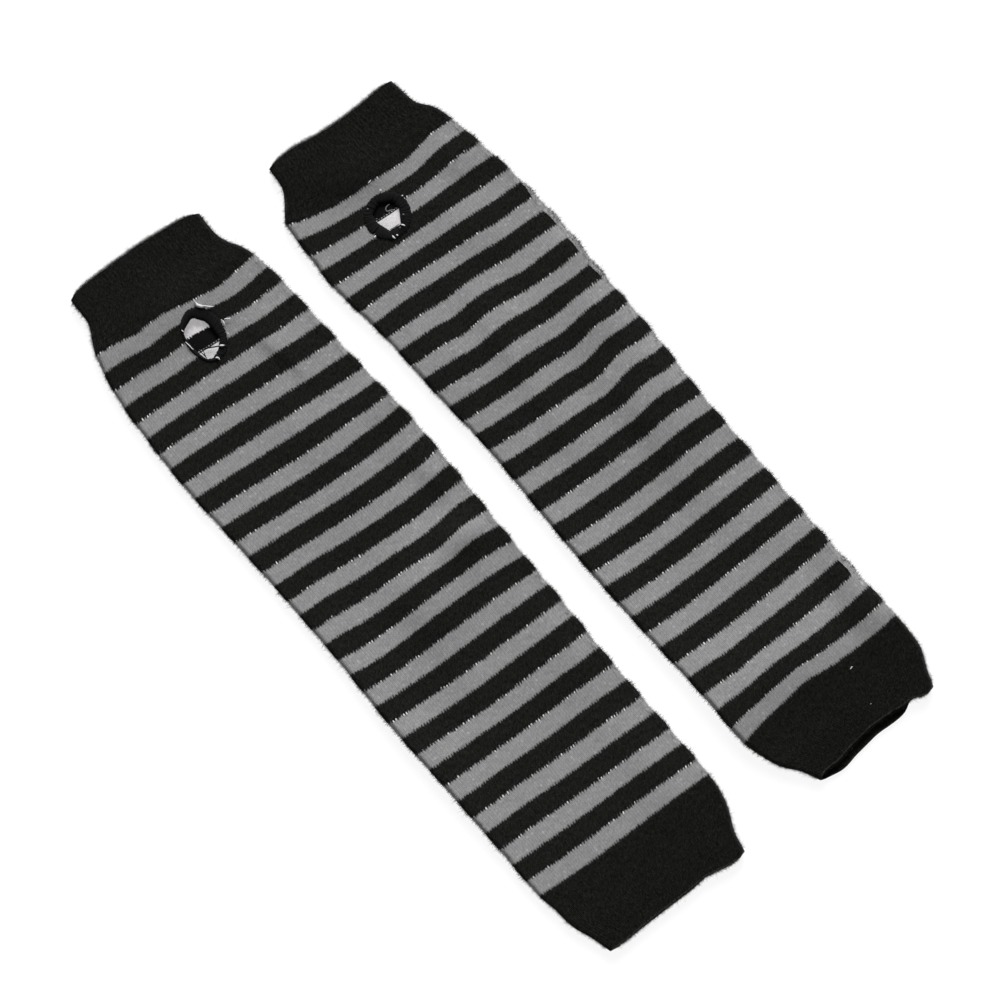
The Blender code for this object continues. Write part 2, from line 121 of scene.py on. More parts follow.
SECTIONS = {
    "left": table(
        Section,
        (0, -77.4, -17.3, 164.2, -3.1, 0.9, 0, 1.8),
        (7, -77.5, -17.7, 157.5, -3.4, 0.3, -0.5, 0.2),
        (12.5, -77.8, -17.3, 151.6, -3.8, -0.4, -1.2, 0),
        (16, -79.2, -15.5, 147.4, -4.1, -0.8, -1.6, 0),
        (19.5, -81.6, -12.8, 143, -4.3, -1.1, -2, 0),
        (23, -83.7, -11.3, 138.4, -4.5, -1.5, -2.6, 0),
        (38.6, -87.4, -9.5, 123.6, -4.2, 0.2, -0.7, 0),
        (54.2, -89.1, -8.6, 108.2, -4.2, 0.3, -1.2, 0),
        (85.4, -90.3, -7, 77.8, -5, 0.2, -0.4, 0),
        (116.6, -89.2, -5.2, 48.5, -3.8, -1.9, -1.2, 0),
        (147.8, -88.2, -5.3, 17.9, -3.7, -1.4, -0.8, 0),
        (179, -87.9, -5.9, -12.5, -4, -0.4, 2.8, 0),
        (210.2, -88.6, -6, -43.1, -3.1, -1, 0.6, 0),
        (241.4, -87.8, -6.5, -75.4, -2.9, -0.5, 0, 0),
        (272.6, -87.1, -6, -108.6, -3.1, -0.1, 0.4, 0),
        (296, -86.8, -5.8, -132.4, -3.1, -0.5, 1.4, 0),
        (304, -85.4, -6.3, -140.6, -2.6, -0.4, 0.6, 0),
        (312, -84.5, -8.6, -149, -2.2, -0.2, 0.2, 0),
        (320, -81.5, -12.4, -157.2, -1.8, 0.2, 0, 0),
        (328, -79.3, -14.2, -166.1, -1.6, 0.4, 0, -0.6),
    ),
    "right": table(
        Section,
        (0, 14.7, 73.2, 154.5, -2.1, -2.2, -1, 1.6),
        (7, 14.5, 74.1, 147.1, -2.9, -2.7, -0.1, 0.2),
        (12, 13.6, 75.2, 141.8, -3.5, -3.1, 0.5, 0),
        (16, 11.1, 78.9, 137.3, -4, -3.5, 1.1, 0),
        (19.5, 8, 80.9, 133.2, -4.4, -3.9, 1.6, 0),
        (23, 5.9, 81.8, 129.4, -4.8, -4.1, 2, 0),
        (38.6, 4.8, 84.1, 115, -4.1, -2, 0.8, 0),
        (54.2, 4.2, 86.3, 99.9, -4.3, -0.3, 0.4, 0),
        (85.4, 7.1, 88.5, 71.1, -4.3, 0.3, -0.3, 0),
        (116.6, 8.2, 88.1, 43.1, -3.4, -1.1, 0.2, 0),
        (147.8, 9.9, 88.5, 14.1, -2.5, -1.6, 0.6, 0),
        (179, 9.7, 87.4, -16.8, -2.4, -1, 1.2, 0),
        (210.2, 9.6, 87.7, -47.9, -2.3, -1, 1.4, 0),
        (241.4, 10.6, 88.3, -79, -1.8, -1.2, 0.8, 0),
        (272.6, 12.2, 89.1, -110.6, -0.7, -1, -0.8, 0),
        (296, 12.6, 90, -134.9, 0.2, 1.5, -2.8, 0),
        (304, 14.6, 90.1, -143, 0.1, 0.9, -1.5, 0),
        (312, 17.6, 89.3, -151, 0, 0.4, -0.5, 0),
        (320, 23, 86, -158.6, 0, 0, 0, 0),
        (328, 26.2, 83.4, -166.6, 0, -0.2, 0, -0.8),
    ),
}

# One place where the upper layer is pushed: its middle, its half length and half
# width, how far it is turned from +X, how high it stands (a trough is negative),
# and how far the courses are pushed towards the hand there.
Fold = namedtuple("Fold", "x y length width turn height drift")

FOLDS = {
    "left": table(
        Fold,
        (-67, 139, 15, 6, 100, -0.05, -1.1),
        (-53, 143, 17, 6, 95, 0.09, 0.8),
        (-29, 131, 14, 6, 120, -0.05, -1),
        (-24, 148, 14, 6, 80, 0.08, 0.2),
        (-30, 94, 17, 5, 92, 0.08, 0.3),
        (-18, 60, 13, 7, 30, 0.09, 0.7),
        (-50, 62, 20, 9, 160, -0.04, -0.5),
        (-76, 10, 20, 9, 70, 0.09, 0.8),
        (-31, 1, 13, 8, 100, -0.04, -0.8),
        (-14, 3, 15, 7, 75, 0.11, 1),
        (-50, -22, 22, 8, 5, 0.09, 0.7),
        (-52, -60, 18, 8, 170, -0.04, -0.6),
        (-26, -84, 24, 8, 100, 0.07, 0.3),
        (-68, -97, 22, 8, 80, 0.08, 0.4),
        (-30, -150, 16, 7, 110, 0.08, 0),
        (-25, 119, 15, 9, 0, 0, -1),
        (-68, 116, 12, 8, 0, 0, -0.6),
        (-27, 84, 7, 6, 0, 0, -0.5),
        (-14, 63, 10, 8, 0, 0, -1),
    ),
    "right": table(
        Fold,
        (20, 141, 16, 6, 55, 0.09, 0),
        (43, 128, 9, 6, 10, 0.03, 0.7),
        (57, 123, 13, 6, 80, -0.05, -0.7),
        (72, 124, 16, 6, 95, 0.09, 0.8),
        (25, 84, 16, 8, 160, 0.08, 0.8),
        (70, 82, 14, 7, 60, -0.04, -0.7),
        (32, 60, 17, 6, 85, -0.05, -1),
        (47, 55, 20, 7, 80, 0.1, 0.6),
        (71, 56, 12, 8, 150, -0.04, -1.1),
        (60, 12, 32, 6, 92, -0.05, -1.1),
        (74, 14, 34, 6, 96, 0.11, 0.8),
        (27, -10, 22, 8, 85, 0.07, 0.2),
        (40, -78, 24, 9, 170, 0.07, 0.3),
        (28, -112, 14, 7, 60, -0.04, -0.9),
        (46, -134, 12, 8, 90, 0.1, 1.2),
        (54, -158, 26, 8, 0, 0.09, 0),
        (66, 64, 6, 5, 0, 0, -0.6),
        (68, 37, 7, 8, 0, 0, -0.9),
        (52, 6, 6, 8, 0, 0, -0.5),
        (67, -12, 6, 20, 0, 0, 0.4),
        (84, -8, 5, 22, 0, 0, -0.5),
        (52, -122, 34, 6, 0, 0, -0.7),
    ),
}

# One crease, a ridge that falls off steeply to the left of its line and gently
# to the right: its middle, its half length, the widths of its steep and gentle
# sides, how far it is turned from +X, and its height (a trough is negative).
Crease = namedtuple("Crease", "x y length steep gentle turn height")

CREASES = {
    "left": table(
        Crease,
        (-52, 139, 34, 13, 10, 174, 1.7),
        (-27.6, 98, 15, 3.2, 12, 101, 1.2),
        (-38, 64, 24, 8, 16, 92, 0.8),
        (-12, 57, 8, 6, 12, 96, 1),
        (-12.5, 21, 14, 5, 12, 92, 1.2),
        (-19, -2, 8, 10, 10, 95, 2.4),
        (-37, -7, 14, 12, 20, 78, 1.6),
        (-50, -17, 20, 9, 12, 82, 1.7),
        (-17, -60, 18, 11, 8, 85, 1.4),
        (-88, -62, 46, 5, 13, 90, 1.6),
        (-66, 12, 26, 12, 20, 84, -0.7),
        (-20, -118, 26, 11, 10, 84, 1.2),
        (-46, -126, 34, 12, 24, 177, 0.5),
    ),
    "right": table(
        Crease,
        (41, 130.5, 12, 8, 10, 172, 1.7),
        (73, 112, 8, 5.5, 10, 80, 1.2),
        (63, 84, 16, 12, 16, 84, 1.2),
        (21, 46, 30, 10, 26, 90, 0.8),
        (41.5, 48, 18, 6, 26, 84, 1.3),
        (37.4, 8, 26, 6, 28, 82, 1),
        (84, 57, 9, 9, 6, 92, 1.3),
        (77, 28, 12, 9, 30, 178, 1.7),
        (81, 0, 26, 14, 7, 88, 1.6),
        (65, -18, 36, 7.5, 20, 87, 1.7),
        (76, -76, 20, 18, 9, 80, 1.2),
        (12, -62, 46, 5, 13, 90, 1.5),
        (73.5, -116, 20, 8, 5.5, 82, -0.9),
        (86, -112, 26, 7, 4, 83, 1.3),
        (46, -121, 80, 24, 27, 179, 2.8),
        (44, -123.5, 50, 14, 10, 179, 0.6),
    ),
}

# Creases of the lower layer, which lift it a little off the surface.
UNDER_CREASES = {
    "left": table(
        Crease,
        (-58, 60, 30, 9, 14, 80, 0.45),
        (-30, -30, 36, 8, 12, 96, 0.5),
        (-66, -100, 24, 10, 14, 84, 0.4),
    ),
    "right": table(
        Crease,
        (34, 70, 26, 9, 14, 98, 0.45),
        (62, 0, 40, 8, 12, 84, 0.5),
        (38, -96, 24, 10, 16, 92, 0.45),
    ),
}

# One wave of a mouth's edge: which mouth and layers it is in, where it is, how
# wide, how square (2 is a bell, 4 is flatter on top), and how far it shifts the
# edge towards the hand.
MouthWave = namedtuple("MouthWave", "mouth layers across spread power shift")

MOUTH_WAVES = {
    "left": table(
        MouthWave,
        ("hand", "both", 0.15, 0.25, 2, 0.4),
        ("arm", "both", 0.45, 0.15, 2, 0.8),
        ("arm", "both", 0.85, 0.2, 2, -1.1),
        ("arm", "upper", -0.1, 0.6, 4, 0.6),
    ),
    "right": table(
        MouthWave,
        ("hand", "both", -0.55, 0.25, 2, 0.7),
        ("arm", "both", -0.65, 0.2, 2, -1.3),
        ("arm", "both", 0, 0.2, 2, 0.7),
        ("arm", "both", 0.66, 0.13, 2, 2.5),
        ("arm", "upper", -0.2, 0.76, 8, 4.1),
    ),
}

# A thumb hole: its middle, the corners of the opening's edge clockwise round it,
# and the middle, half sizes and turn of the overcast band's outer rim.
ThumbHole = namedtuple("ThumbHole", "x y edge band_x band_y band_half_x band_half_y turn")

THUMB_HOLES = {
    "left": ThumbHole(
        -47.6, 121.5,
        ((-52.6, 118), (-52.5, 126.6), (-50.6, 128.3), (-46.4, 129.7), (-45.2, 129.4), (-42.7, 125.6),
         (-42.2, 122), (-42.4, 117.2), (-45.4, 114.1), (-49.4, 112.7), (-51.9, 114.4)),
        -45.9, 122, 8, 11.3, -8,
    ),
    "right": ThumbHole(
        38.5, 111.5,
        ((33.6, 112.2), (35.3, 106.5), (40.2, 105.7), (43.5, 110.7), (43.4, 114.6), (38.6, 117.4),
         (34.2, 115.4)),
        38.4, 111.4, 9.4, 9.2, 0,
    ),
}
# The lower layer swells up into the hole, over this reach in x and y.
HOLE_SWELL = 1.4
HOLE_REACH = (6, 8)
# The tube is cut back by LIP behind the overcast stitches. They lie STITCH_PITCH
# apart at STITCH_WAY of the way out, over a ring of RING_POINTS.
LIP = 0.4
STITCH_PITCH = 0.50
STITCH_WAY = 0.82
STITCH_RADIUS = 0.36
RING_POINTS = 72

# Where the black stripes stop short of a fold, as the grey yarn is carried up
# there: from which hand distance to which, and how wide the grey strip is. Its
# ends narrow by CARRIED_TAPER, its side is CARRIED_BLEND soft, and it isn't drawn
# where it is narrower than CARRIED_LEAST. The fold is found at CARRIED_SAMPLES.
CarriedYarn = namedtuple("CarriedYarn", "start end width")
CARRIED_TAPER = 1.6
CARRIED_BLEND = 0.35
CARRIED_LEAST = 0.2
CARRIED_SAMPLES = 600

CARRIED_YARN = {
    "left": (),
    "right": (CarriedYarn(60, 124, 2.2), CarriedYarn(255, 279, 2.5)),
}

# How far the lower layer's courses are drawn from the upper layer's, halfway
# between the folds: where along, over what length, and by how much.
LowerDrift = namedtuple("LowerDrift", "along length shift")

LOWER_DRIFTS = {
    "left": LowerDrift(40, 30, -7.2),
    "right": LowerDrift(40, 26, -2.5),
}

# A loose thread: its colour, its thickest radius, and its points, whose heights
# don't count the creases. Each is drawn with so many points and sides, and gets
# thinner at its ends by this share.
Strand = namedtuple("Strand", "colour radius points")
STRAND_POINTS = 9
STRAND_SIDES = 6
STRAND_TAPER = 0.65

STRANDS = {
    "left": table(
        Strand,
        ("black", 0.28, ((-51.4, 117.6, 3.2), (-48.6, 117.1, 3), (-46, 115.6, 3.2), (-43.6, 114.2, 4.2))),
        ("black", 0.18, ((-52.6, 117.9, 3.4), (-52.2, 116.2, 3.1), (-51.9, 114.4, 3.9))),
        ("black", 0.18, ((-51.5, 117.8, 3.1), (-51.3, 116, 3), (-51.2, 114.1, 3.8))),
        ("black", 0.17, ((-50.4, 117.5, 3), (-50.9, 115.8, 3), (-51.5, 113.8, 3.8))),
        ("white", 0.20, ((-53.5, 124.4, 4.4), (-53.3, 122.8, 4.5), (-53.2, 121.4, 4.5), (-53.1, 120, 4.4))),
        ("white", 0.22, ((-51.7, 128.9, 4.2), (-51.5, 127.6, 4.1))),
        ("white", 0.30, ((-48.6, 112.1, 4.3), (-47.8, 111.6, 4.6), (-47.7, 110.3, 4.3))),
        ("white", 0.34, ((-44.3, 114.8, 4.3), (-43.4, 114.1, 4.5), (-42.7, 113.6, 4.3))),
        ("pale", 0.20, ((-40.4, 135.2, 4.6), (-40.5, 134.2, 4.7), (-40.8, 133, 4.8))),
        ("pale", 0.68, ((-40.8, 134, 4), (-40.8, 132.6, 4.1), (-40.1, 131.2, 4.1), (-38.8, 129.8, 3.9))),
        ("pale", 0.30, ((-39.6, 131.2, 4.3), (-38.4, 129.8, 4.4), (-37.5, 128.8, 4.4), (-36.2, 127.8, 4.2))),
        ("white", 0.24, ((-36.9, 121.6, 4.3), (-37.2, 120.4, 4.5), (-37.6, 119.3, 4.3))),
        ("white", 0.22, ((-36.2, 121.5, 4.3), (-35.2, 120.8, 4.5), (-34.3, 120.2, 4.3))),
        ("white", 0.26, ((-34.7, 120.4, 4.4), (-34.2, 120.1, 4.4))),
        ("white", 0.20, ((-38.8, 116.6, 4.3), (-38.4, 115.9, 4.2))),
    ),
    "right": table(
        Strand,
        ("grey", 0.24, (
            (41.9, 114.4, 3.4), (40.3, 114.4, 3.1), (39.3, 113.7, 3), (39.5, 112.7, 3),
            (40.8, 112.3, 3.1), (41.7, 111.7, 3.6),
        )),
        ("white", 0.32, ((28.9, 108.1, 4.1), (29.9, 108.5, 4.2))),
        ("white", 0.32, ((42.2, 121, 4.1), (43.1, 120.5, 4.3))),
        ("white", 0.20, ((40.6, 125.9, 4), (42.4, 126.2, 4.1))),
        ("white", 0.26, ((47.6, 113.9, 4.2), (48.1, 113.5, 4.3))),
        ("grey", 0.26, ((43.2, 108.1, 4.3), (43.7, 107.6, 4.2))),
        ("white", 0.28, ((40.2, 105.5, 4.1), (40.7, 104.8, 4.4), (41.1, 104, 4.3))),
        ("grey", 0.26, ((38.9, 104.9, 4.3), (39.4, 104.6, 4.3))),
        ("white", 0.30, ((34.9, 104.3, 4.3), (34.8, 103.5, 4.5), (35, 102.6, 4.3))),
        ("white", 0.28, ((36.3, 103.6, 4.3), (36.5, 102.8, 4.4))),
        ("grey", 0.26, ((34, 118.7, 4.1), (34.3, 118.1, 4.1))),
        ("grey", 0.30, ((35.6, 106.7, 3.6), (37.6, 106.2, 3.4), (39.8, 106.1, 3.6))),
        ("white", 0.22, ((62.8, -139.6, 4.3), (64.2, -139.2, 4.4))),
        ("white", 0.16, ((60.2, -155, 4.4), (60.5, -155.2, 4.4))),
    ),
}

# Fibres for each millimetre of a fold and of the hand and arm mouths, and on a
# sleeve's face, and the share of the hand mouth's fibres that looks pale.
FOLD_FUZZ = 33.0
MOUTH_FUZZ = (105.0, 45.0)
FACE_FUZZ = 700
PALE_SHARE = 0.65
# The fold fuzz starts this far from the mouths and lies at these angles round a
# fold. The mouth fuzz grows from the last MOUTH_DEPTH.
FOLD_FUZZ_START = 1.5
FOLD_FUZZ_ANGLES = (-40.0, 88.0)
MOUTH_DEPTH = 0.3
# A fibre's radius, the spread of its heading, its least length, the shape and
# scale of the gamma spread that is added, and how much shorter it is by a fold.
FIBRE_RADIUS = 0.055
FIBRE_SPREAD = 0.5
FIBRE_LEAST = 0.3
FIBRE_GAMMA = (2.6, 0.24)
CORNER_TRIM = 0.75

# The looks. Colours are linear.
GREY = (0.166, 0.166, 0.167)
BLACK = (0.0069, 0.0069, 0.0062)
INNER_WHITE = (0.290, 0.283, 0.288)
INNER_BLACK = (0.0045, 0.0045, 0.0045)
# The inner white's glow is painted light.
INNER_PAINTED_GLOW = 1.2
INNER_SHIFT = 0.3
TIP_WHITE = (0.62, 0.62, 0.62)
FLOOR_WHITE = 0.10
FLOOR_GLOW = 0.90

# Each thread's colour and its sheen.
THREADS = {
    "black": ((0.0060, 0.0060, 0.0062), 0.005),
    "grey": ((0.12, 0.12, 0.12), 0.01),
    "pale": ((0.36, 0.36, 0.37), 0.02),
    "white": ((0.45, 0.45, 0.45), 0.02),
}

# The nap of the yarn is noise in strokes: the slant of the strokes, and their
# scales across and along it, for a millimetre. All surfaces shine as little as
# SPECULAR says, and YARN is the finish of the knit.
STROKE_SLANT = (0.84, 0.54)
STROKES_BESIDE = 1.5
STROKES_AHEAD = 0.55
SPECULAR = 0.04
YARN = {"roughness": 0.92, "sheen": 0.05, "sheen_roughness": 0.3}

# Light: a broad key from the photograph's top, an even sky, and their strengths.
KEY_HEIGHT_ANGLE = 27.0
KEY_SOFTNESS = 35.0
KEY_STRENGTH = 8.1
SKY_STRENGTH = 0.30

# The camera looks straight down on this spot, with the sleeves turned from
# upright, and its frame is this wide.
VIEW_X = 0.76
VIEW_Y = -1.52
VIEW_TURN = -40.0
FRAME_WIDTH = 390.0
LENS = 240.0
SENSOR = 36.0

# In metres: how far the floor reaches, how far it lies below the pair, and the
# camera's nearest and furthest sight.
FLOOR_REACH = 8.0
FLOOR_DEPTH = 0.0002
NEAREST = 0.1
FURTHEST = 20.0

random = np.random.default_rng(7)


# ---------------------------------------------------------------- the form


def section_at(side, along):
    """The sections at distances from the hand edge, on smooth curves through the rows."""
    rows = np.array(SECTIONS[side])
    places, last = rows[:, 0], len(rows) - 1
    before = np.maximum(np.arange(last + 1) - 1, 0)
    after = np.minimum(np.arange(last + 1) + 1, last)
    slopes = (rows[after] - rows[before]) / (places[after] - places[before])[:, None]
    low = np.clip(np.searchsorted(places, along, side="right") - 1, 0, last - 1)
    span = (places[low + 1] - places[low])[..., None]
    step = (np.asarray(along) - places[low])[..., None] / span
    values = (
        rows[low] * (2 * step**3 - 3 * step**2 + 1)
        + slopes[low] * span * (step**3 - 2 * step**2 + step)
        + rows[low + 1] * (3 * step**2 - 2 * step**3)
        + slopes[low + 1] * span * (step**3 - step**2)
    )
    return Section(*np.moveaxis(values, -1, 0))


def fold_places(side, along):
    """Where the left and right folds of a course lie; black stripes stand out a little."""
    section = section_at(side, along)
    into_body = np.minimum(along - HAND_CUFF, BODY_END - along)
    phase = (along - HAND_CUFF) / (2.0 * STRIPE) - 0.5 - 0.5 * SCALLOP_PLACE
    swell = np.cos(2.0 * np.pi * phase) * np.clip(into_body / STRIPE, 0.0, 1.0)
    return section.left - LEFT_SCALLOP * swell, section.right + RIGHT_SCALLOP * swell


def from_line(place, x, y):
    """How far points are from a fold's or crease's middle, ahead on its line and left of it."""
    turn = math.radians(place.turn)
    on_x, on_y = x - place.x, y - place.y
    ahead = on_x * math.cos(turn) + on_y * math.sin(turn)
    return ahead, on_y * math.cos(turn) - on_x * math.sin(turn)


def fold_strength(fold, x, y):
    """How much of a fold's height a plan position takes, from 0 to 1."""
    ahead, beside = from_line(fold, x, y)
    return np.exp(-((ahead / fold.length) ** 2) - (beside / fold.width) ** 2)


def crease_strength(crease, x, y):
    """The same for a crease, whose left side is steeper."""
    ahead, beside = from_line(crease, x, y)
    width = np.where(beside > 0.0, crease.steep, crease.gentle)
    return np.exp(-((ahead / crease.length) ** 2) - (beside / width) ** 2)


def unevenness(x, y):
    """Small, irregular waves of the cloth, up to about 0.2 mm high."""
    waves = np.random.default_rng(3)
    height = 0.0
    for _ in range(SMALL_WAVES):
        length = waves.uniform(*SMALL_WAVE_LENGTHS)
        heading = waves.uniform(0, np.pi)
        start = waves.uniform(0, 6.28)
        distance = x * math.cos(heading) + y * math.sin(heading)
        wave = np.sin(2.0 * np.pi * distance / length + start)
        height = height + SMALL_WAVE_HEIGHT * length * wave
    return height


def mouth_shift(side, along, across, upper):
    """How far the waves of a mouth's edge shift a point; `upper` is 1 on the upper layer."""
    shift = 0.0
    for wave in MOUTH_WAVES[side]:
        from_mouth = along if wave.mouth == "hand" else LENGTH - along
        share = upper if wave.layers == "upper" else 1.0
        bell = np.exp(-np.abs((across - wave.across) / wave.spread) ** wave.power)
        shift = shift + wave.shift * share * bell * np.exp(-((from_mouth / MOUTH_FADE) ** 2))
    return shift


def plan(side, along, across, upper):
    """Plan position of points of the tube; `upper` is 1 on the upper layer and 0 below."""
    section = section_at(side, along)
    left, right = fold_places(side, along)
    x = (left + right) / 2.0 + across * (right - left) / 2.0
    y = section.y + section.tilt * across + section.bow * (1.0 - across**2)
    y = y + section.sway * (across - across**3) - section.corner * across**8
    y = y + mouth_shift(side, along, across, upper)
    lower = LOWER_DRIFTS[side]
    drawn = np.exp(-(((along - lower.along) / lower.length) ** 2))
    drawn = drawn * (1.0 - np.exp(-((along / DRIFT_FADE) ** 2)))
    y = y + lower.shift * drawn * (1.0 - across**2) * (1.0 - upper)
    y = y + sum(fold.drift * fold_strength(fold, x, y) for fold in FOLDS[side])
    return x, y


def rise(side, x, y):
    """How far the creases and pushed places lift the upper layer and the folds' tops."""
    height = sum(fold.height * fold_strength(fold, x, y) for fold in FOLDS[side])
    return height + sum(crease.height * crease_strength(crease, x, y) for crease in CREASES[side])


def upper_height(side, x, y, inset):
    """Height of the upper layer's outer face, `inset` in from the nearer fold."""
    lying = 2.0 * WALL + LAYER_GAP + unevenness(x, y)
    near_fold = np.exp(-np.maximum(inset - FOLD_RADIUS, 0.0) / FOLD_FADE)
    return 2.0 * FOLD_RADIUS * near_fold + lying * (1.0 - near_fold) + rise(side, x, y)


def lower_lift(side, x, y):
    """How far the lower layer is off the surface, at its creases and up into the thumb hole."""
    hole = THUMB_HOLES[side]
    from_hole = ((x - hole.x) / HOLE_REACH[0]) ** 2 + ((y - hole.y) / HOLE_REACH[1]) ** 2
    lift = sum(crease.height * crease_strength(crease, x, y) for crease in UNDER_CREASES[side])
    return lift + HOLE_SWELL * np.exp(-from_hole)


# Columns of a skin, each an array: at a fold, `hand` is -1 or 1 and the angle is
# measured from the fold's middle; on a layer, `hand` is 0 and `place` runs from
# -1 to 1. `wale` counts the wales round the tube and `crest` is the relief there.
Columns = namedtuple("Columns", "hand angle place wale crest")


def columns_round(layer_wales, fold_wales, upper_steps, lower_steps, profile):
    """The columns round a tube, from below the left fold up, over, down and back.

    `upper_steps` and `lower_steps` are steps per wale, and `profile` the relief
    at the upper ones, which fades out round the folds."""
    fold_count = int(fold_wales * upper_steps)
    turn = 180.0 * np.arange(fold_count) / (fold_wales * upper_steps) - 90.0
    over = np.linspace(-1.0, 1.0, int(layer_wales * upper_steps) + 1)
    under = np.linspace(1.0, -1.0, int(layer_wales * lower_steps) + 1)[:-1]
    sizes = (fold_count, len(over), fold_count - 1, len(under))
    hand = np.repeat((-1, 0, 1, 0), sizes)
    angle = np.concatenate((turn, np.full(sizes[1], 90.0), -turn[1:], np.full(sizes[3], -90.0)))
    place = np.concatenate((np.zeros(sizes[0]), over, np.zeros(sizes[2]), under))
    starts = np.cumsum((0, fold_wales, layer_wales, fold_wales))
    wale = np.concatenate((
        starts[0] + np.arange(sizes[0]) / upper_steps,
        starts[1] + np.arange(sizes[1]) / upper_steps,
        starts[2] + np.arange(1, sizes[2] + 1) / upper_steps,
        starts[3] + np.arange(sizes[3]) / lower_steps,
    ))
    crest = np.array(profile)[np.round(wale * upper_steps).astype(int) % len(profile)]
    crest = crest * (1.0 + np.sin(np.radians(angle))) / 2.0
    return Columns(hand, angle, place, wale, crest)


def inner_columns():
    """The columns of an inner skin: coarse, plain and a wale narrower on each layer."""
    return columns_round(LAYER_WALES - 1, FOLD_WALES + 1, 0.5, 0.5, (0.0,))


def tube_points(side, along, columns, sunk=0.0, relief=1.0):
    """Points of a skin that lies `sunk` inside the outer one.

    `along` holds a row for each course against the columns, or a value for each
    column. `relief` scales the crests."""
    left, right = fold_places(side, along)
    half = (right - left) / 2.0
    turn = np.radians(columns.angle)
    upper = (1.0 + np.sin(turn)) / 2.0
    raised = columns.crest * relief
    radius = FOLD_RADIUS - sunk + np.where(columns.hand == 0, 0.0, raised)
    at_fold = columns.hand * (1.0 - (FOLD_RADIUS - radius * np.cos(turn)) / half)
    on_layer = columns.place * (1.0 - FOLD_RADIUS / half)
    across = np.where(columns.hand == 0, on_layer, at_fold)
    x, y = plan(side, along, across, upper)
    fold_z = FOLD_RADIUS + radius * np.sin(turn) + rise(side, x, y) * upper
    upper_z = upper_height(side, x, y, half * (1.0 - np.abs(across))) - sunk + raised
    layer_z = np.where(columns.angle > 0, upper_z, sunk + lower_lift(side, x, y))
    z = np.where(columns.hand == 0, layer_z, fold_z)
    return np.stack((x, y, z), axis=-1)


# ---------------------------------------------------------------- mesh making


class Draft:
    """Points with a place in the knit, and faces on them, gathered before a mesh is made."""

    def __init__(self):
        self.points, self.knit, self.faces, self.looks = [], [], [], []
        self.count = 0

    def add_points(self, points, knit):
        """Add points and their (wale, course) places, and return their indices in the same grid."""
        shape = points.shape[:-1]
        self.points.append(points.reshape(-1, 3))
        self.knit.append(np.broadcast_to(knit, (*shape, 2)).reshape(-1, 2))
        indices = self.count + np.arange(math.prod(shape)).reshape(shape)
        self.count += indices.size
        return indices

    def add_faces(self, faces, look=0):
        """Add faces of one size, all with one material."""
        self.faces.append(np.asarray(faces))
        self.looks.append(np.full(len(faces), look))

    def grid(self, indices, look=0, keep=None):
        """Quads over a grid of indices whose columns close on themselves; `keep` leaves some out."""
        after = np.roll(indices, -1, axis=1)
        quads = np.stack((indices[:-1], after[:-1], after[1:], indices[1:]), axis=-1)
        self.add_faces(quads[keep] if keep is not None else quads.reshape(-1, 4), look)

    def zip_loops(self, first, first_at, second, second_at, look=0):
        """Triangles between two closed chains of indices, each in order of a place from 0 to 1."""
        faces, i, j = [], 0, 0
        next_first = np.append(first_at[1:], first_at[0] + 1.0)
        next_second = np.append(second_at[1:], second_at[0] + 1.0)
        while i < len(first) or j < len(second):
            here, there = first[i % len(first)], second[j % len(second)]
            if j == len(second) or (i < len(first) and next_first[i] <= next_second[j]):
                i += 1
                faces.append((here, first[i % len(first)], there))
            else:
                j += 1
                faces.append((here, second[j % len(second)], there))
        self.add_faces(faces, look)

    def make(self, name, materials, sharp=60.0):
        """Make an object of what was gathered, with its places in the knit as a UV map."""
        used = np.zeros(self.count, bool)
        for faces in self.faces:
            used[faces.ravel()] = True
        fresh = np.cumsum(used) - 1
        points = np.concatenate(self.points)[used] * MM
        knit = np.concatenate(self.knit)[used]
        faces = [face for block in self.faces for face in fresh[block].tolist()]
        mesh = bpy.data.meshes.new(name)
        mesh.from_pydata(points.tolist(), [], faces)
        mesh.polygons.foreach_set("material_index", np.concatenate(self.looks).astype(np.int32))
        corner = np.zeros(len(mesh.loops), np.int32)
        mesh.loops.foreach_get("vertex_index", corner)
        start = np.zeros(len(mesh.polygons), np.int32)
        mesh.polygons.foreach_get("loop_start", start)
        places = knit[corner]
        total = np.diff(np.append(start, len(corner)))
        furthest = np.repeat(np.maximum.reduceat(places[:, 0], start), total)
        places[:, 0] += np.where(furthest - places[:, 0] > WALES / 2.0, WALES, 0.0)
        layer = mesh.uv_layers.new(name="knit")
        layer.data.foreach_set("uv", places.astype(np.float32).ravel())
        for material in materials:
            mesh.materials.append(material)
        mesh.shade_smooth()
        mesh.set_sharp_from_angle(angle=math.radians(sharp))
        mesh.update()
        return put_in_scene(name, mesh)


def put_in_scene(name, data):
    """Make an object of a mesh, a light or a camera, and link it to the scene."""
    thing = bpy.data.objects.new(name, data)
    bpy.context.scene.collection.objects.link(thing)
    return thing


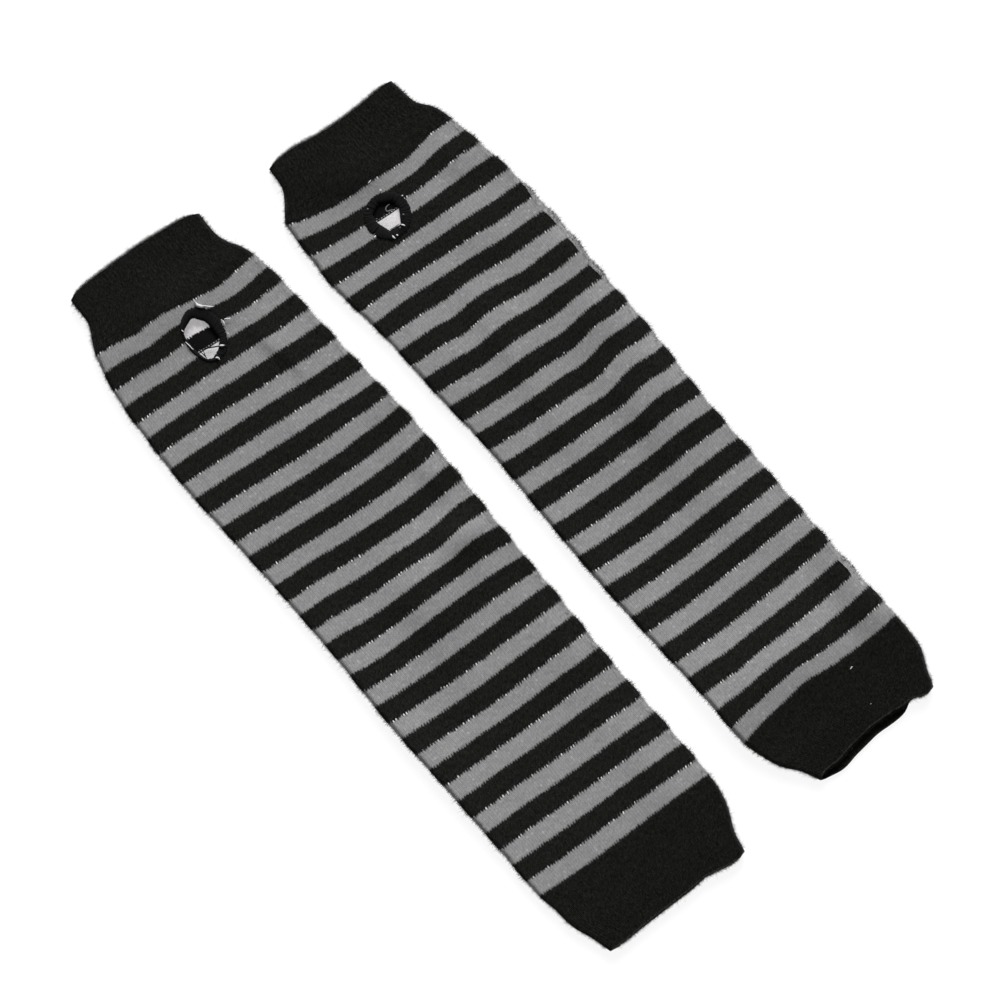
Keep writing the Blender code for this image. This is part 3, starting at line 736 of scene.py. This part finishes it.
def sweep(draft, paths, radii, sides, reference, knit, look=0):
    """Closed tubes along paths of equal point counts: paths by points by three, in millimetres."""
    ahead = np.gradient(paths, axis=1)
    ahead /= np.linalg.norm(ahead, axis=-1, keepdims=True)
    beside = np.cross(ahead, reference[:, None, :])
    beside /= np.linalg.norm(beside, axis=-1, keepdims=True)
    above = np.cross(beside, ahead)
    angles = 2.0 * np.pi * np.arange(sides) / sides
    circle = beside[:, :, None] * np.cos(angles)[:, None] + above[:, :, None] * np.sin(angles)[:, None]
    points = paths[:, :, None] + circle * radii[..., None, None]
    indices = draft.add_points(points, knit[:, None, None, :])
    around = np.roll(indices, -1, axis=2)
    quads = np.stack((indices[:, :-1], around[:, :-1], around[:, 1:], indices[:, 1:]), axis=-1)
    draft.add_faces(quads.reshape(-1, 4), look)
    draft.add_faces(indices[:, 0, ::-1].reshape(-1, sides), look)
    draft.add_faces(indices[:, -1].reshape(-1, sides), look)


def smooth_path(points, count):
    """Evenly spaced points on a Catmull-Rom curve through a strand's points."""
    knots = np.array(points, float)
    padded = np.vstack((2 * knots[0] - knots[1], knots, 2 * knots[-1] - knots[-2]))
    at = np.linspace(0.0, len(knots) - 1.0, count)
    low = np.minimum(at.astype(int), len(knots) - 2)
    t = (at - low)[:, None]
    a, b, c, d = (padded[low + k] for k in range(4))
    return 0.5 * (2 * b + (c - a) * t + (2 * a - 5 * b + 4 * c - d) * t**2 + (3 * b - a - 3 * c + d) * t**3)


# ---------------------------------------------------------------- materials


def operation(name, swapped=False):
    """A method of Value that adds a math node; `swapped` puts the value itself last."""

    def method(value, *others):
        ordered = (*others, value) if swapped else (value, *others)
        return value.nodes.maths(name, *ordered)

    return method


class Value:
    """A number in a material's node tree, which can be used in sums like a plain number."""

    __add__ = __radd__ = operation("ADD")
    __sub__ = operation("SUBTRACT")
    __rsub__ = operation("SUBTRACT", swapped=True)
    __mul__ = __rmul__ = operation("MULTIPLY")
    __truediv__ = operation("DIVIDE")
    __mod__ = operation("MODULO")
    __pow__ = operation("POWER")
    __abs__ = operation("ABSOLUTE")
    floor = operation("FLOOR")
    fract = operation("FRACT")
    sine = operation("SINE")
    at_least = operation("MAXIMUM")

    def __init__(self, nodes, socket):
        self.nodes, self.socket = nodes, socket


class Nodes:
    """Short calls that add shader nodes to one material and link them."""

    def __init__(self, name):
        self.material = bpy.data.materials.new(name)
        self.material.use_nodes = True
        self.tree = self.material.node_tree
        self.shader = self.tree.nodes["Principled BSDF"]

    def put(self, socket, value):
        """Link a socket to a value or another socket, or give it a plain number or colour."""
        value = value.socket if isinstance(value, Value) else value
        if isinstance(value, bpy.types.NodeSocket):
            self.tree.links.new(value, socket)
        else:
            socket.default_value = value

    def node(self, kind, *values):
        """A new node with its first sockets filled."""
        node = self.tree.nodes.new("ShaderNode" + kind)
        for socket, value in zip(node.inputs, values):
            self.put(socket, value)
        return node

    def maths(self, operation, *values):
        node = self.node("Math", *values)
        node.operation = operation
        return Value(self, node.outputs[0])

    def ramp(self, value, low, high, to_low=0.0, to_high=1.0):
        """A smooth step of a value from one range to another."""
        node = self.node("MapRange", value, low, high, to_low, to_high)
        node.interpolation_type = "SMOOTHSTEP"
        return Value(self, node.outputs[0])

    def mix(self, factor, first, second):
        """A mix of two colours."""
        node = self.node("Mix", factor)
        node.data_type = "RGBA"
        for socket, colour in zip((node.inputs[6], node.inputs[7]), (first, second)):
            self.put(socket, (*colour, 1.0) if isinstance(colour, tuple) else colour)
        return node.outputs[2]

    def shade(self, colour, factor):
        """A colour times a number."""
        node = self.node("VectorMath", colour)
        node.operation = "SCALE"
        self.put(node.inputs["Scale"], factor)
        return node.outputs[0]

    def combine(self, x, y, z=0.0):
        return self.node("CombineXYZ", x, y, z).outputs[0]

    def noise(self, vector, scale, detail=2.0):
        node = self.node("TexNoise", vector)
        node.inputs["Scale"].default_value = scale
        node.inputs["Detail"].default_value = detail
        return Value(self, node.outputs["Fac"])

    def chance(self, x, y, seed=0.0):
        """A number from 0 to 1 that is random for each pair of whole numbers."""
        node = self.node("TexWhiteNoise", self.combine(x, y, seed))
        return Value(self, node.outputs["Value"])

    def strokes(self, wale, course):
        """Noise drawn out along the slant of the yarn."""
        x, y = wale * WALE_WIDTH, course * COURSE
        slant_x, slant_y = STROKE_SLANT
        beside = x * slant_x + y * slant_y
        ahead = x * slant_y - y * slant_x
        place = self.combine(beside * STROKES_BESIDE, ahead * STROKES_AHEAD)
        return self.noise(place, 1.0, 3.0)

    def knit_place(self):
        """The wale and course coordinates from the UV map."""
        node = self.node("UVMap")
        node.uv_map = "knit"
        split = self.node("SeparateXYZ", node.outputs[0])
        return Value(self, split.outputs[0]), Value(self, split.outputs[1])

    def object_place(self):
        return self.node("TexCoord").outputs["Object"]

    def bump(self, height, distance, strength=1.0):
        node = self.node("Bump")
        node.inputs["Distance"].default_value = distance
        node.inputs["Strength"].default_value = strength
        self.put(node.inputs["Height"], height)
        self.put(self.shader.inputs["Normal"], node.outputs[0])

    def finish(self, roughness=0.9, sheen=0.0, sheen_roughness=0.5):
        """Set the shader's plain numbers, and return the material."""
        self.shader.inputs["Roughness"].default_value = roughness
        self.shader.inputs["Specular IOR Level"].default_value = SPECULAR
        self.shader.inputs["Sheen Weight"].default_value = sheen
        self.shader.inputs["Sheen Roughness"].default_value = sheen_roughness
        return self.material


def from_middle_of(wale):
    """How far a place is from the middle of its wale, up to half a wale."""
    return abs(wale.fract() - 0.5)


def stitches(nodes, wale, course):
    """Plain knit: its relief from 0 to 1, and the painted shade in its gaps.

    Each stitch is two strands that slope down from the wale's middle to its sides."""
    from_middle = from_middle_of(wale)
    on_strand = (course - from_middle * STITCH_SLOPE).fract()
    rounded = (on_strand * math.pi).sine() ** 0.7
    beside = abs(from_middle - 0.22) * 4.2
    height = rounded * (1.0 - beside**2.0)
    # Painted shade: darker between the courses and between the wales, where the strands part.
    shade_between_courses = nodes.ramp(rounded, 0.1, 0.9, 0.88, 1.0)
    shade_between_wales = nodes.ramp(from_middle, 0.28, 0.48, 1.0, 0.58)
    return height, shade_between_courses * shade_between_wales


def stripes(nodes, wale, course, strokes):
    """How black a place is, how far it is past a grey stripe's start, and its leaning wale.

    The edge of a stripe is toothed, as it follows the strands of each stitch,
    and ragged where the strokes of the yarn's nap cross it."""
    edge_at = (course + 2.5 * COURSES) % COURSES
    leaning = wale + (edge_at - 0.5 * COURSES) * LEAN
    stripe = (course / COURSES).floor()
    ragged = nodes.chance(leaning.floor(), stripe, 4.0) * 0.4 - 0.2 + (strokes - 0.5) * 2.2
    edge = course + ragged - from_middle_of(leaning) * EDGE_SLOPE
    beat = (edge + (0.25 * EDGE_SLOPE - EDGE_SHIFT + 2.0 * COURSES)) % (2.0 * COURSES)
    grey = nodes.ramp(beat, 0.0, 1.2) * nodes.ramp(beat, 7.3, 8.45, 1.0, 0.0)
    return 1.0 - grey, beat, leaning


def pale_tips(nodes, course, beat, leaning):
    """Where a pale fibre shows at the hand side of a grey stripe: on some of its wales."""
    stripe = (course / (2.0 * COURSES)).floor()
    bright = nodes.ramp(nodes.chance(leaning.floor(), stripe, 9.0), 0.72, 0.97)
    in_course = nodes.ramp(beat, 0.1, 0.4) * nodes.ramp(beat, 0.8, 1.1, 1.0, 0.0)
    in_wale = nodes.ramp(from_middle_of(leaning), 0.12, 0.28, 1.0, 0.0)
    return bright * in_course * in_wale


def striped_knit():
    """Plain knit in even stripes of grey and black, with pale tips at the stripes' edges."""
    nodes = Nodes("striped_knit")
    wale, course = nodes.knit_place()
    strokes = nodes.strokes(wale, course)
    height, gap_shade = stitches(nodes, wale, course)
    black, beat, leaning = stripes(nodes, wale, course, strokes)
    attribute = nodes.node("Attribute")
    attribute.attribute_name = "carried"
    carried = Value(nodes, attribute.outputs["Fac"])
    black = black * nodes.ramp(strokes * 0.8 + carried - 0.4, 0.35, 0.65, 1.0, 0.0)
    stitch = nodes.chance(wale.floor(), course.floor())
    cloud = nodes.noise(nodes.object_place(), 220.0, 3.0)
    speckle = nodes.noise(nodes.object_place(), 2300.0)
    light = stitch * 0.16 + nodes.ramp(stitch, 0.97, 0.99, 0.92, 1.08)
    light = light * (cloud * 0.12 + 0.94)
    # Painted shade: the grey is darker in the gaps between the strands.
    grey_light = light * (gap_shade * 0.45 + 0.72) * (speckle * 0.7 + strokes * 0.6 + 0.35)
    black_nap = ((speckle + strokes) * 2.8 - 1.8).at_least(0.1)
    # Painted highlight and shade: the black is lighter on the strands' crests and darker in their hollows,
    # standing for the yarn's gloss.
    black_light = light * (height * 0.5 + 0.78) * black_nap
    grey = nodes.shade(nodes.combine(*GREY), grey_light)
    dark = nodes.shade(nodes.combine(*BLACK), black_light)
    tips = pale_tips(nodes, course, beat, leaning)
    colour = nodes.mix(tips, nodes.mix(black, grey, dark), TIP_WHITE)
    nodes.put(nodes.shader.inputs["Base Color"], colour)
    nodes.bump(height, 0.00018, 0.5)
    return nodes.finish(**YARN)


def inner_knit():
    """The purl side of the striped knit: its grey stripes show a nearly white yarn.

    Where grey ends its bumps reach into the black, and one row before the next
    grey stripe shows bumps of both colours in turn. The white glows a little, as
    painted light that stands for light coming through the thin, stretched knit
    round it and lifts the shade that the hole's rim casts on the white."""
    nodes = Nodes("inner_knit")
    wale, course = nodes.knit_place()
    strokes = nodes.strokes(wale, course)
    wave = (wale * (2.0 * math.pi)).sine()
    height = ((wave * 0.22 + course).fract() * math.pi).sine()
    beat = (course + (2.0 * COURSES + INNER_SHIFT)) % (2.0 * COURSES)
    which = wale.floor()
    bumps = nodes.ramp(wave, -0.6, 0.4)
    uneven = nodes.chance(which, 5.0)
    black = nodes.ramp(beat - bumps * uneven * 0.7, 7.4, 8.1) * nodes.ramp(beat, 15.85, 16.0, 1.0, 0.0)
    dashes = nodes.ramp(beat, 14.8, 15.1) * nodes.ramp(beat, 15.3, 15.6, 1.0, 0.0)
    black = black - dashes * (uneven * 0.5 + 0.15) * bumps
    stitch = nodes.chance(which, course.floor(), 2.0)
    # The height term is painted shade, darker in the hollows between the purl bumps.
    light = (stitch * 0.12 + 0.88) * (height * 0.12 + 0.92) * (strokes * 0.2 + 0.9)
    looks = (("Base Color", INNER_BLACK), ("Emission Color", (0.0, 0.0, 0.0)))
    for name, dark in looks:
        nodes.put(nodes.shader.inputs[name], nodes.shade(nodes.mix(black, INNER_WHITE, dark), light))
    # Painted light: the inner white glows, lifting the shade that the hole's rim casts on it.
    nodes.shader.inputs["Emission Strength"].default_value = INNER_PAINTED_GLOW
    nodes.bump(height, 0.00015, 0.6)
    return nodes.finish(roughness=0.95)


def black_knit():
    """Plain black knit for the cuffs, with a painted highlight along the arm mouth's lip."""
    nodes = Nodes("black_knit")
    wale, course = nodes.knit_place()
    height = stitches(nodes, wale, course)[0]
    stitch = nodes.chance(wale.floor(), course.floor())
    nap = nodes.noise(nodes.object_place(), 1800.0) + nodes.strokes(wale, course)
    nap = (nap * 2.8 - 1.8).at_least(0.1)
    # Painted highlight: the black grows up to 2.6 times paler in the last millimetre before the arm mouth,
    # where its rolled lip catches the light.
    lip_highlight = nodes.ramp(course, courses(LENGTH - 0.9), courses(LENGTH - 0.4), 1.0, 2.6)
    # Painted shade: the height term makes the black darker in the hollows between strands and lighter on
    # their crests.
    light = (stitch * 0.4 + 0.8) * lip_highlight * (height * 0.7 + 0.68) * nap
    nodes.put(nodes.shader.inputs["Base Color"], nodes.shade(nodes.combine(*BLACK), light))
    nodes.bump(height, 0.00022, 1.0)
    return nodes.finish(**YARN)


def thread(name, colour, sheen):
    """Twisted thread, with its plies running round it."""
    nodes = Nodes(name)
    plies = nodes.noise(nodes.object_place(), 2600.0)
    light = plies * 0.5 + 0.75
    nodes.put(nodes.shader.inputs["Base Color"], nodes.shade(nodes.combine(*colour), light))
    nodes.bump(plies, 0.0001, 0.6)
    return nodes.finish(roughness=0.85, sheen=sheen)


def pale_floor():
    """A plain white table, lit from within so that shadows on it are faint."""
    nodes = Nodes("pale_floor")
    light = nodes.noise(nodes.object_place(), 3.0) * 0.02 + (FLOOR_WHITE - 0.01)
    nodes.put(nodes.shader.inputs["Base Color"], nodes.combine(light, light, light))
    nodes.shader.inputs["Emission Color"].default_value = (1.0, 1.0, 1.0, 1.0)
    nodes.shader.inputs["Emission Strength"].default_value = FLOOR_GLOW
    return nodes.finish()


# ---------------------------------------------------------------- pieces


def courses(along):
    """Places along a sleeve, in courses from the start of its first stripe."""
    return (np.asarray(along, float) - HAND_CUFF) / COURSE


def knit_grid(columns, along):
    """The (wale, course) places of a grid of rows by columns."""
    wale, course = np.meshgrid(columns.wale, courses(along))
    return np.stack((wale, course), axis=-1)


def edge_distance(hole, heading):
    """How far the opening's edge is from the hole's middle, in the directions given."""
    corners = np.array(hole.edge) - (hole.x, hole.y)
    sides = np.roll(corners, -1, axis=0) - corners
    outward = np.stack((-sides[:, 1], sides[:, 0]), axis=-1)
    reach = (outward * corners).sum(axis=1)
    toward = np.cos(heading)[..., None] * outward[:, 0] + np.sin(heading)[..., None] * outward[:, 1]
    distance = reach / np.where(toward == 0.0, 1.0, toward)
    return np.where(reach * toward > 1e-6, distance, np.inf).min(axis=-1)


def open_hole(side, points, columns):
    """Cut a thumb hole in a skin's grid of points: which faces stay, and which points are its rim.

    Points inside the hole next to a face that stays are moved out to its edge.
    The third result is each point's place round the hole, from 0 to 1."""
    hole = THUMB_HOLES[side]
    on_x, on_y = points[..., 0] - hole.x, points[..., 1] - hole.y
    heading = np.arctan2(on_y, on_x)
    size = np.hypot(on_x, on_y) / (edge_distance(hole, heading) + STITCH_RADIUS + LIP)
    inside = (size < 1.0) & (columns.angle > 0.0)[None, :]
    after = np.roll(inside, -1, axis=1)
    gone = (inside & after)[:-1] & (inside & after)[1:]
    near_gone, near_kept = (np.zeros_like(inside) for _ in range(2))
    for mask, near in ((gone, near_gone), (~gone, near_kept)):
        spread = mask | np.roll(mask, 1, axis=1)
        near[:-1] |= spread
        near[1:] |= spread
    rim = inside & near_gone & near_kept
    shift = np.where(rim, 1.0 / np.maximum(size, 1e-6), 1.0)
    points[..., 0] = hole.x + on_x * shift
    points[..., 1] = hole.y + on_y * shift
    return ~gone, rim, (heading / (2.0 * np.pi)) % 1.0


def knit_tube(side, looks):
    """The striped body: a seamless tube with its thumb hole cut through the upper layer."""
    draft = Draft()
    outer_columns = columns_round(LAYER_WALES, FOLD_WALES, len(WALE_RELIEF), 1, WALE_RELIEF)
    skins = ((outer_columns, ROWS_PER_STRIPE, 0.0), (inner_columns(), INNER_ROWS_PER_STRIPE, WALL))
    ends, rims = [], []
    for look, (columns, per_stripe, sunk) in enumerate(skins):
        along = np.linspace(HAND_CUFF, BODY_END + JOINT, STRIPES * per_stripe + 1)
        points = tube_points(side, along[:, None], columns, sunk)
        keep, rim, at = open_hole(side, points, columns)
        indices = draft.add_points(points, knit_grid(columns, along))
        draft.grid(indices, look, keep)
        order = np.argsort(at[rim])
        ends.append((indices, columns.wale / WALES))
        rims.append((indices[rim][order], at[rim][order]))
    (outer, outer_at), (inner, inner_at) = ends
    for row in (0, -1):
        draft.zip_loops(outer[row], outer_at, inner[row], inner_at)
    draft.zip_loops(*rims[0], *rims[1])
    piece = draft.make(f"{side}_knit_tube", looks)
    mark_carried_yarn(side, piece)
    return piece


def mark_carried_yarn(side, piece):
    """Mark where the grey yarn is carried up the right fold, for the stripes' material."""
    mesh = piece.data
    layer = mesh.attributes.new("carried", "FLOAT", "POINT")
    spots = np.zeros(len(mesh.vertices) * 3, np.float32)
    mesh.vertices.foreach_get("co", spots)
    spots = spots.reshape(-1, 3) / MM
    samples = np.linspace(HAND_CUFF, BODY_END, CARRIED_SAMPLES)
    fold_x, fold_y = plan(side, samples, np.ones_like(samples), np.ones_like(samples))
    order = np.argsort(fold_y)
    along = np.interp(spots[:, 1], fold_y[order], samples[order])
    edge = np.interp(spots[:, 1], fold_y[order], fold_x[order])
    amount = np.zeros(len(spots))
    for yarn in CARRIED_YARN[side]:
        middle, half = (yarn.start + yarn.end) / 2.0, (yarn.end - yarn.start) / 2.0
        narrowed = CARRIED_TAPER * (1.0 - ((along - middle) / half) ** 2)
        width = yarn.width * np.clip(narrowed, 0.0, 1.0)
        inside = np.clip((spots[:, 0] - (edge - width)) / CARRIED_BLEND, 0.0, 1.0)
        amount = np.maximum(amount, inside * (width > CARRIED_LEAST))
    layer.data.foreach_set("value", amount.astype(np.float32))


def cuff(side, along, columns, relief, name, look):
    """A cuff between its mouth and the body: outer and inner skins, joined at both ends.

    `relief` scales the crests of each row."""
    draft = Draft()
    outer = draft.add_points(
        tube_points(side, along[:, None], columns, 0.0, relief[:, None]), knit_grid(columns, along)
    )
    lining, rows = inner_columns(), along[::2]
    inner = draft.add_points(tube_points(side, rows[:, None], lining, WALL), knit_grid(lining, rows))
    draft.grid(outer)
    draft.grid(inner)
    for row in (0, -1):
        draft.zip_loops(outer[row], columns.wale / WALES, inner[row], lining.wale / WALES)
    return draft.make(name, (look,))


def smooth_step(value, low, high):
    """A smooth step from 0 to 1."""
    t = np.clip((value - low) / (high - low), 0.0, 1.0)
    return t * t * (3.0 - 2.0 * t)


def hand_cuff(side, look):
    """The hand cuff: a 1 x 1 ribbed welt, then plain black knit that widens to the body."""
    columns = columns_round(HAND_RIBS, FOLD_RIBS, len(RIB_PROFILE), 1, RIB_PROFILE)
    columns = columns._replace(wale=columns.wale * WALES / (2 * (HAND_RIBS + FOLD_RIBS)))
    along = np.linspace(0.0, HAND_CUFF, HAND_ROWS)
    relief = 1.0 - smooth_step(along, HAND_WELT - HAND_BLEND, HAND_WELT + HAND_BLEND)
    return cuff(side, along, columns, relief, f"{side}_ribbed_hand_cuff", look)


def arm_cuff(side, look):
    """The arm cuff: plain black knit, then a welt whose wales stand out more."""
    columns = columns_round(LAYER_WALES, FOLD_WALES, len(WALE_RELIEF), 1, WALE_RELIEF)
    along = np.linspace(BODY_END + JOINT, LENGTH, ARM_ROWS)
    welt = LENGTH - ARM_WELT
    in_welt = smooth_step(along, welt - ARM_BLEND, welt + ARM_BLEND)
    relief = 1.0 + (ARM_WELT_RELIEF - 1.0) * in_welt
    return cuff(side, along, columns, relief, f"{side}_welted_arm_cuff", look)


def hole_edge(hole, heading, away):
    """Plan points outside the opening's edge by a distance."""
    distance = edge_distance(hole, heading) + away
    return hole.x + distance * np.cos(heading), hole.y + distance * np.sin(heading)


def hole_rim(hole, heading, away):
    """Plan points outside the overcast band's outer rim by a distance."""
    tilt = math.radians(hole.turn)
    on_x = (hole.band_half_x + away) * np.cos(heading - tilt)
    on_y = (hole.band_half_y + away) * np.sin(heading - tilt)
    x = hole.band_x + on_x * math.cos(tilt) - on_y * math.sin(tilt)
    y = hole.band_y + on_x * math.sin(tilt) + on_y * math.cos(tilt)
    return x, y


def face_height(side, x, y):
    """Height of the upper layer's outer face, away from the folds."""
    return upper_height(side, x, y, OPEN_FACE)


def across_band(hole, heading, slant, lip, rim, shares, reach=1.0):
    """Plan points across the overcast band, from its lip in the hole towards its outer rim."""
    inner_x, inner_y = hole_edge(hole, heading, lip)
    outer_x, outer_y = hole_rim(hole, heading + slant, rim)
    along_x, along_y = (outer_x - inner_x) * reach, (outer_y - inner_y) * reach
    return inner_x[:, None] + along_x[:, None] * shares, inner_y[:, None] + along_y[:, None] * shares


def overcast_stitches(draft, side):
    """Thread overcast round the thumb hole, each stitch from the lip out to the band's rim."""
    hole = THUMB_HOLES[side]
    around = STITCH_WAY * math.pi * (hole.band_half_x + hole.band_half_y)
    count = int(around / STITCH_PITCH)
    angle = 2.0 * np.pi * (np.arange(count) + 0.5 + random.uniform(-0.2, 0.2, count)) / count
    reach = random.uniform(0.95, 1.04, count)
    slant = random.uniform(0.0, 1.2, count) * np.pi / count
    shares = np.array((0.10, 0.0, 0.0, 0.06, 0.22, 0.42, 0.62, 0.82, 0.96, 1.0))
    lifts = np.array((-1.5, -1.2, -0.6, -0.10, 0.12, 0.22, 0.25, 0.20, 0.08, -0.20))
    x, y = across_band(hole, angle, slant, STITCH_RADIUS, 0.0, shares, reach)
    z = face_height(side, x, y) + lifts + random.uniform(-0.08, 0.08, count)[:, None]
    radii = STITCH_RADIUS * random.uniform(0.85, 1.15, count)[:, None] * np.ones(len(shares))
    radii[:, -1] *= 0.5
    tangent = np.stack((-np.sin(angle), np.cos(angle), np.zeros(count)), axis=-1)
    sweep(draft, np.stack((x, y, z), axis=-1), radii, 7, tangent, np.zeros((count, 2)))


def overcast_edge(side, look):
    """The thumb hole's edge: the overcast stitches, over a ring that closes the gaps between them."""
    draft = Draft()
    overcast_stitches(draft, side)
    heading = 2.0 * np.pi * np.arange(RING_POINTS) / RING_POINTS
    shares = np.array((0.0, 0.0, 0.25, 0.75, 0.97, 0.35, 0.12))
    lifts = np.array((-1.3, 0.0, 0.22, 0.20, -0.1, -0.1, -1.3))
    x, y = across_band(THUMB_HOLES[side], heading, 0.0, STITCH_RADIUS + 0.3, -0.3, shares)
    ring = np.stack((x, y, face_height(side, x, y) + lifts), axis=-1)
    indices = draft.add_points(ring.transpose(1, 0, 2), np.zeros(2))
    draft.grid(np.vstack((indices, indices[:1])))
    return draft.make(f"{side}_overcast_thumb_edge", (look,), sharp=80.0)


def loose_threads(side, looks):
    """The ends of black, grey and white yarn round the thumb hole and on the cuffs."""
    draft = Draft()
    names = list(looks)
    for strand in STRANDS[side]:
        path = smooth_path(strand.points, STRAND_POINTS)
        path[:, 2] += rise(side, path[:, 0], path[:, 1])
        to_end = np.abs(np.linspace(-1.0, 1.0, STRAND_POINTS))
        radii = strand.radius * (1.0 - STRAND_TAPER * to_end[None] ** 3)
        upright = np.array(((0.03, 0.02, 1.0),))
        look = names.index(strand.colour)
        sweep(draft, path[None], radii, STRAND_SIDES, upright, np.zeros((1, 2)), look)
    return draft.make(f"{side}_loose_threads", looks.values(), sharp=80.0)


def fibres(side, along, hand, angle, out, name, look):
    """Fine fibres that leave the knit at places along a sleeve and round its fold or on a layer.

    `out` is the way out of the knit at each, in sideways, lengthwise and upward
    parts. Those on a layer are shorter near its folds, so a mouth's corners stay round."""
    total = len(along)
    across = random.uniform(-1.0, 1.0, total)
    roots = tube_points(side, along, Columns(hand, angle, across, across, np.zeros(total)))
    in_mouth = np.minimum(along, LENGTH - along) < MOUTH_DEPTH
    roots[:, 2] -= np.where(in_mouth & (hand == 0), random.uniform(0.1, WALL, total), 0.0)
    heading = out + random.normal(0.0, FIBRE_SPREAD, roots.shape) * np.array((1.0, 1.0, 0.5))
    heading /= np.linalg.norm(heading, axis=-1, keepdims=True)
    length = FIBRE_LEAST + random.gamma(*FIBRE_GAMMA, total)
    length = length * (1.0 - CORNER_TRIM * across**10)
    paths = np.stack((roots, roots + length[:, None] * heading), axis=1)
    paths[..., 2] = np.maximum(paths[..., 2], 0.1)
    radii = FIBRE_RADIUS * np.array((1.0, 0.4)) * random.uniform(0.6, 1.2, (total, 1))
    on_body = (along > HAND_CUFF) & (along < BODY_END)
    pale = (along < MOUTH_DEPTH) & (random.random(total) < PALE_SHARE)
    course = np.where(on_body, courses(along), np.where(pale, 0.5, 1.5) * COURSES)
    wale = np.floor(random.uniform(0.0, WALES, total)) + 0.3
    draft = Draft()
    sweep(draft, paths, radii, 3, random.normal(size=roots.shape), np.stack((wale, course), axis=-1))
    return draft.make(name, (look,), sharp=180.0)


def fold_fuzz(side, look):
    """The fuzz along both folds, with a few fibres on the face."""
    sizes = (int(2.0 * FOLD_FUZZ * LENGTH) - FACE_FUZZ, FACE_FUZZ)
    at_fold = np.repeat((True, False), sizes)
    total = sum(sizes)
    along = random.uniform(FOLD_FUZZ_START, LENGTH - FOLD_FUZZ_START, total)
    hand = np.where(at_fold, random.choice((-1, 1), total), 0)
    angle = np.where(at_fold, random.uniform(*FOLD_FUZZ_ANGLES, total), 90.0)
    outwards = hand * (0.4 + 0.6 * np.cos(np.radians(angle)))
    upwards = np.where(at_fold, 0.4 * np.sin(np.radians(angle)), 0.35)
    out = np.stack((outwards, np.zeros(total), upwards), axis=-1)
    return fibres(side, along, hand, angle, out, f"{side}_fold_fuzz", look)


def mouth_fuzz(side, look):
    """The fuzz round both mouths."""
    left, right = fold_places(side, np.array((0.0, LENGTH)))
    sizes = (np.array(MOUTH_FUZZ) * (right - left)).astype(int)
    way = np.repeat((1.0, -1.0), sizes)
    deep = random.uniform(0.0, MOUTH_DEPTH, sizes.sum())
    along = np.where(way > 0.0, deep, LENGTH - deep)
    out = np.stack((0.0 * way, way, 0.0 * way), axis=-1)
    hand, angle = np.zeros(len(way), int), np.full(len(way), 90.0)
    return fibres(side, along, hand, angle, out, f"{side}_mouth_fuzz", look)


# ---------------------------------------------------------------- stage


def stage():
    """A plain pale floor, a soft light from above the hand end's side, and an even sky."""
    mesh = bpy.data.meshes.new("floor")
    signs = ((-1.0, -1.0), (1.0, -1.0), (1.0, 1.0), (-1.0, 1.0))
    corners = [(x * FLOOR_REACH, y * FLOOR_REACH, -FLOOR_DEPTH) for x, y in signs]
    mesh.from_pydata(corners, [], [(0, 1, 2, 3)])
    mesh.materials.append(pale_floor())
    floor = put_in_scene("floor", mesh)
    world = bpy.data.worlds.new("studio")
    world.use_nodes = True
    sky = world.node_tree.nodes["Background"]
    sky.inputs["Color"].default_value = (1.0, 1.0, 1.0, 1.0)
    sky.inputs["Strength"].default_value = SKY_STRENGTH
    bpy.context.scene.world = world
    light = bpy.data.lights.new("key", "SUN")
    light.angle = math.radians(KEY_SOFTNESS)
    light.energy = KEY_STRENGTH
    lamp = put_in_scene("key", light)
    lamp.rotation_euler = (-math.radians(90.0 - KEY_HEIGHT_ANGLE), 0.0, math.radians(VIEW_TURN))


def camera():
    """A long lens straight above the pair, turned as the sleeves lie."""
    data = bpy.data.cameras.new("camera")
    data.lens = LENS
    data.sensor_width = SENSOR
    data.clip_start, data.clip_end = NEAREST, FURTHEST
    eye = put_in_scene("camera", data)
    distance = FRAME_WIDTH * MM * LENS / SENSOR
    eye.location = (VIEW_X * MM, VIEW_Y * MM, distance)
    eye.rotation_euler = (0.0, 0.0, math.radians(VIEW_TURN))
    bpy.context.scene.camera = eye


def settle(piece, slot, *nodes):
    """Ride on the part's one body and stand for the nodes, which are hidden. The slot is not used."""
    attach(piece, "root")
    if nodes:
        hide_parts(*nodes)


def dress(side, looks, threads):
    """Make one sleeve's pieces, and hide the frame's nodes that each stands for."""
    tube = knit_tube(side, (looks["striped"], looks["inner"]))
    settle(tube, "striped_yarn", f"{side}_tube_top", f"{side}_tube_bottom")
    hand = hand_cuff(side, looks["black"])
    settle(hand, "black_yarn", f"{side}_hand_cuff")
    arm = arm_cuff(side, looks["black"])
    settle(arm, "black_yarn", f"{side}_arm_cuff")
    edge = overcast_edge(side, threads["black"])
    settle(edge, "edging_thread", f"{side}_thumb_edging")
    ends = loose_threads(side, threads)
    settle(ends, "edging_thread")
    nap = (fold_fuzz(side, looks["striped"]), mouth_fuzz(side, looks["striped"]))
    for piece in nap:
        settle(piece, "striped_yarn")


def main():
    """Dress both sleeves and set the stage."""
    looks = {"striped": striped_knit(), "inner": inner_knit(), "black": black_knit()}
    threads = {name: thread(f"{name}_thread", *look) for name, look in THREADS.items()}
    for side in SIDES:
        dress(side, looks, threads)
    stage()
    camera()
    bpy.context.scene.view_settings.view_transform = "Standard"


main()
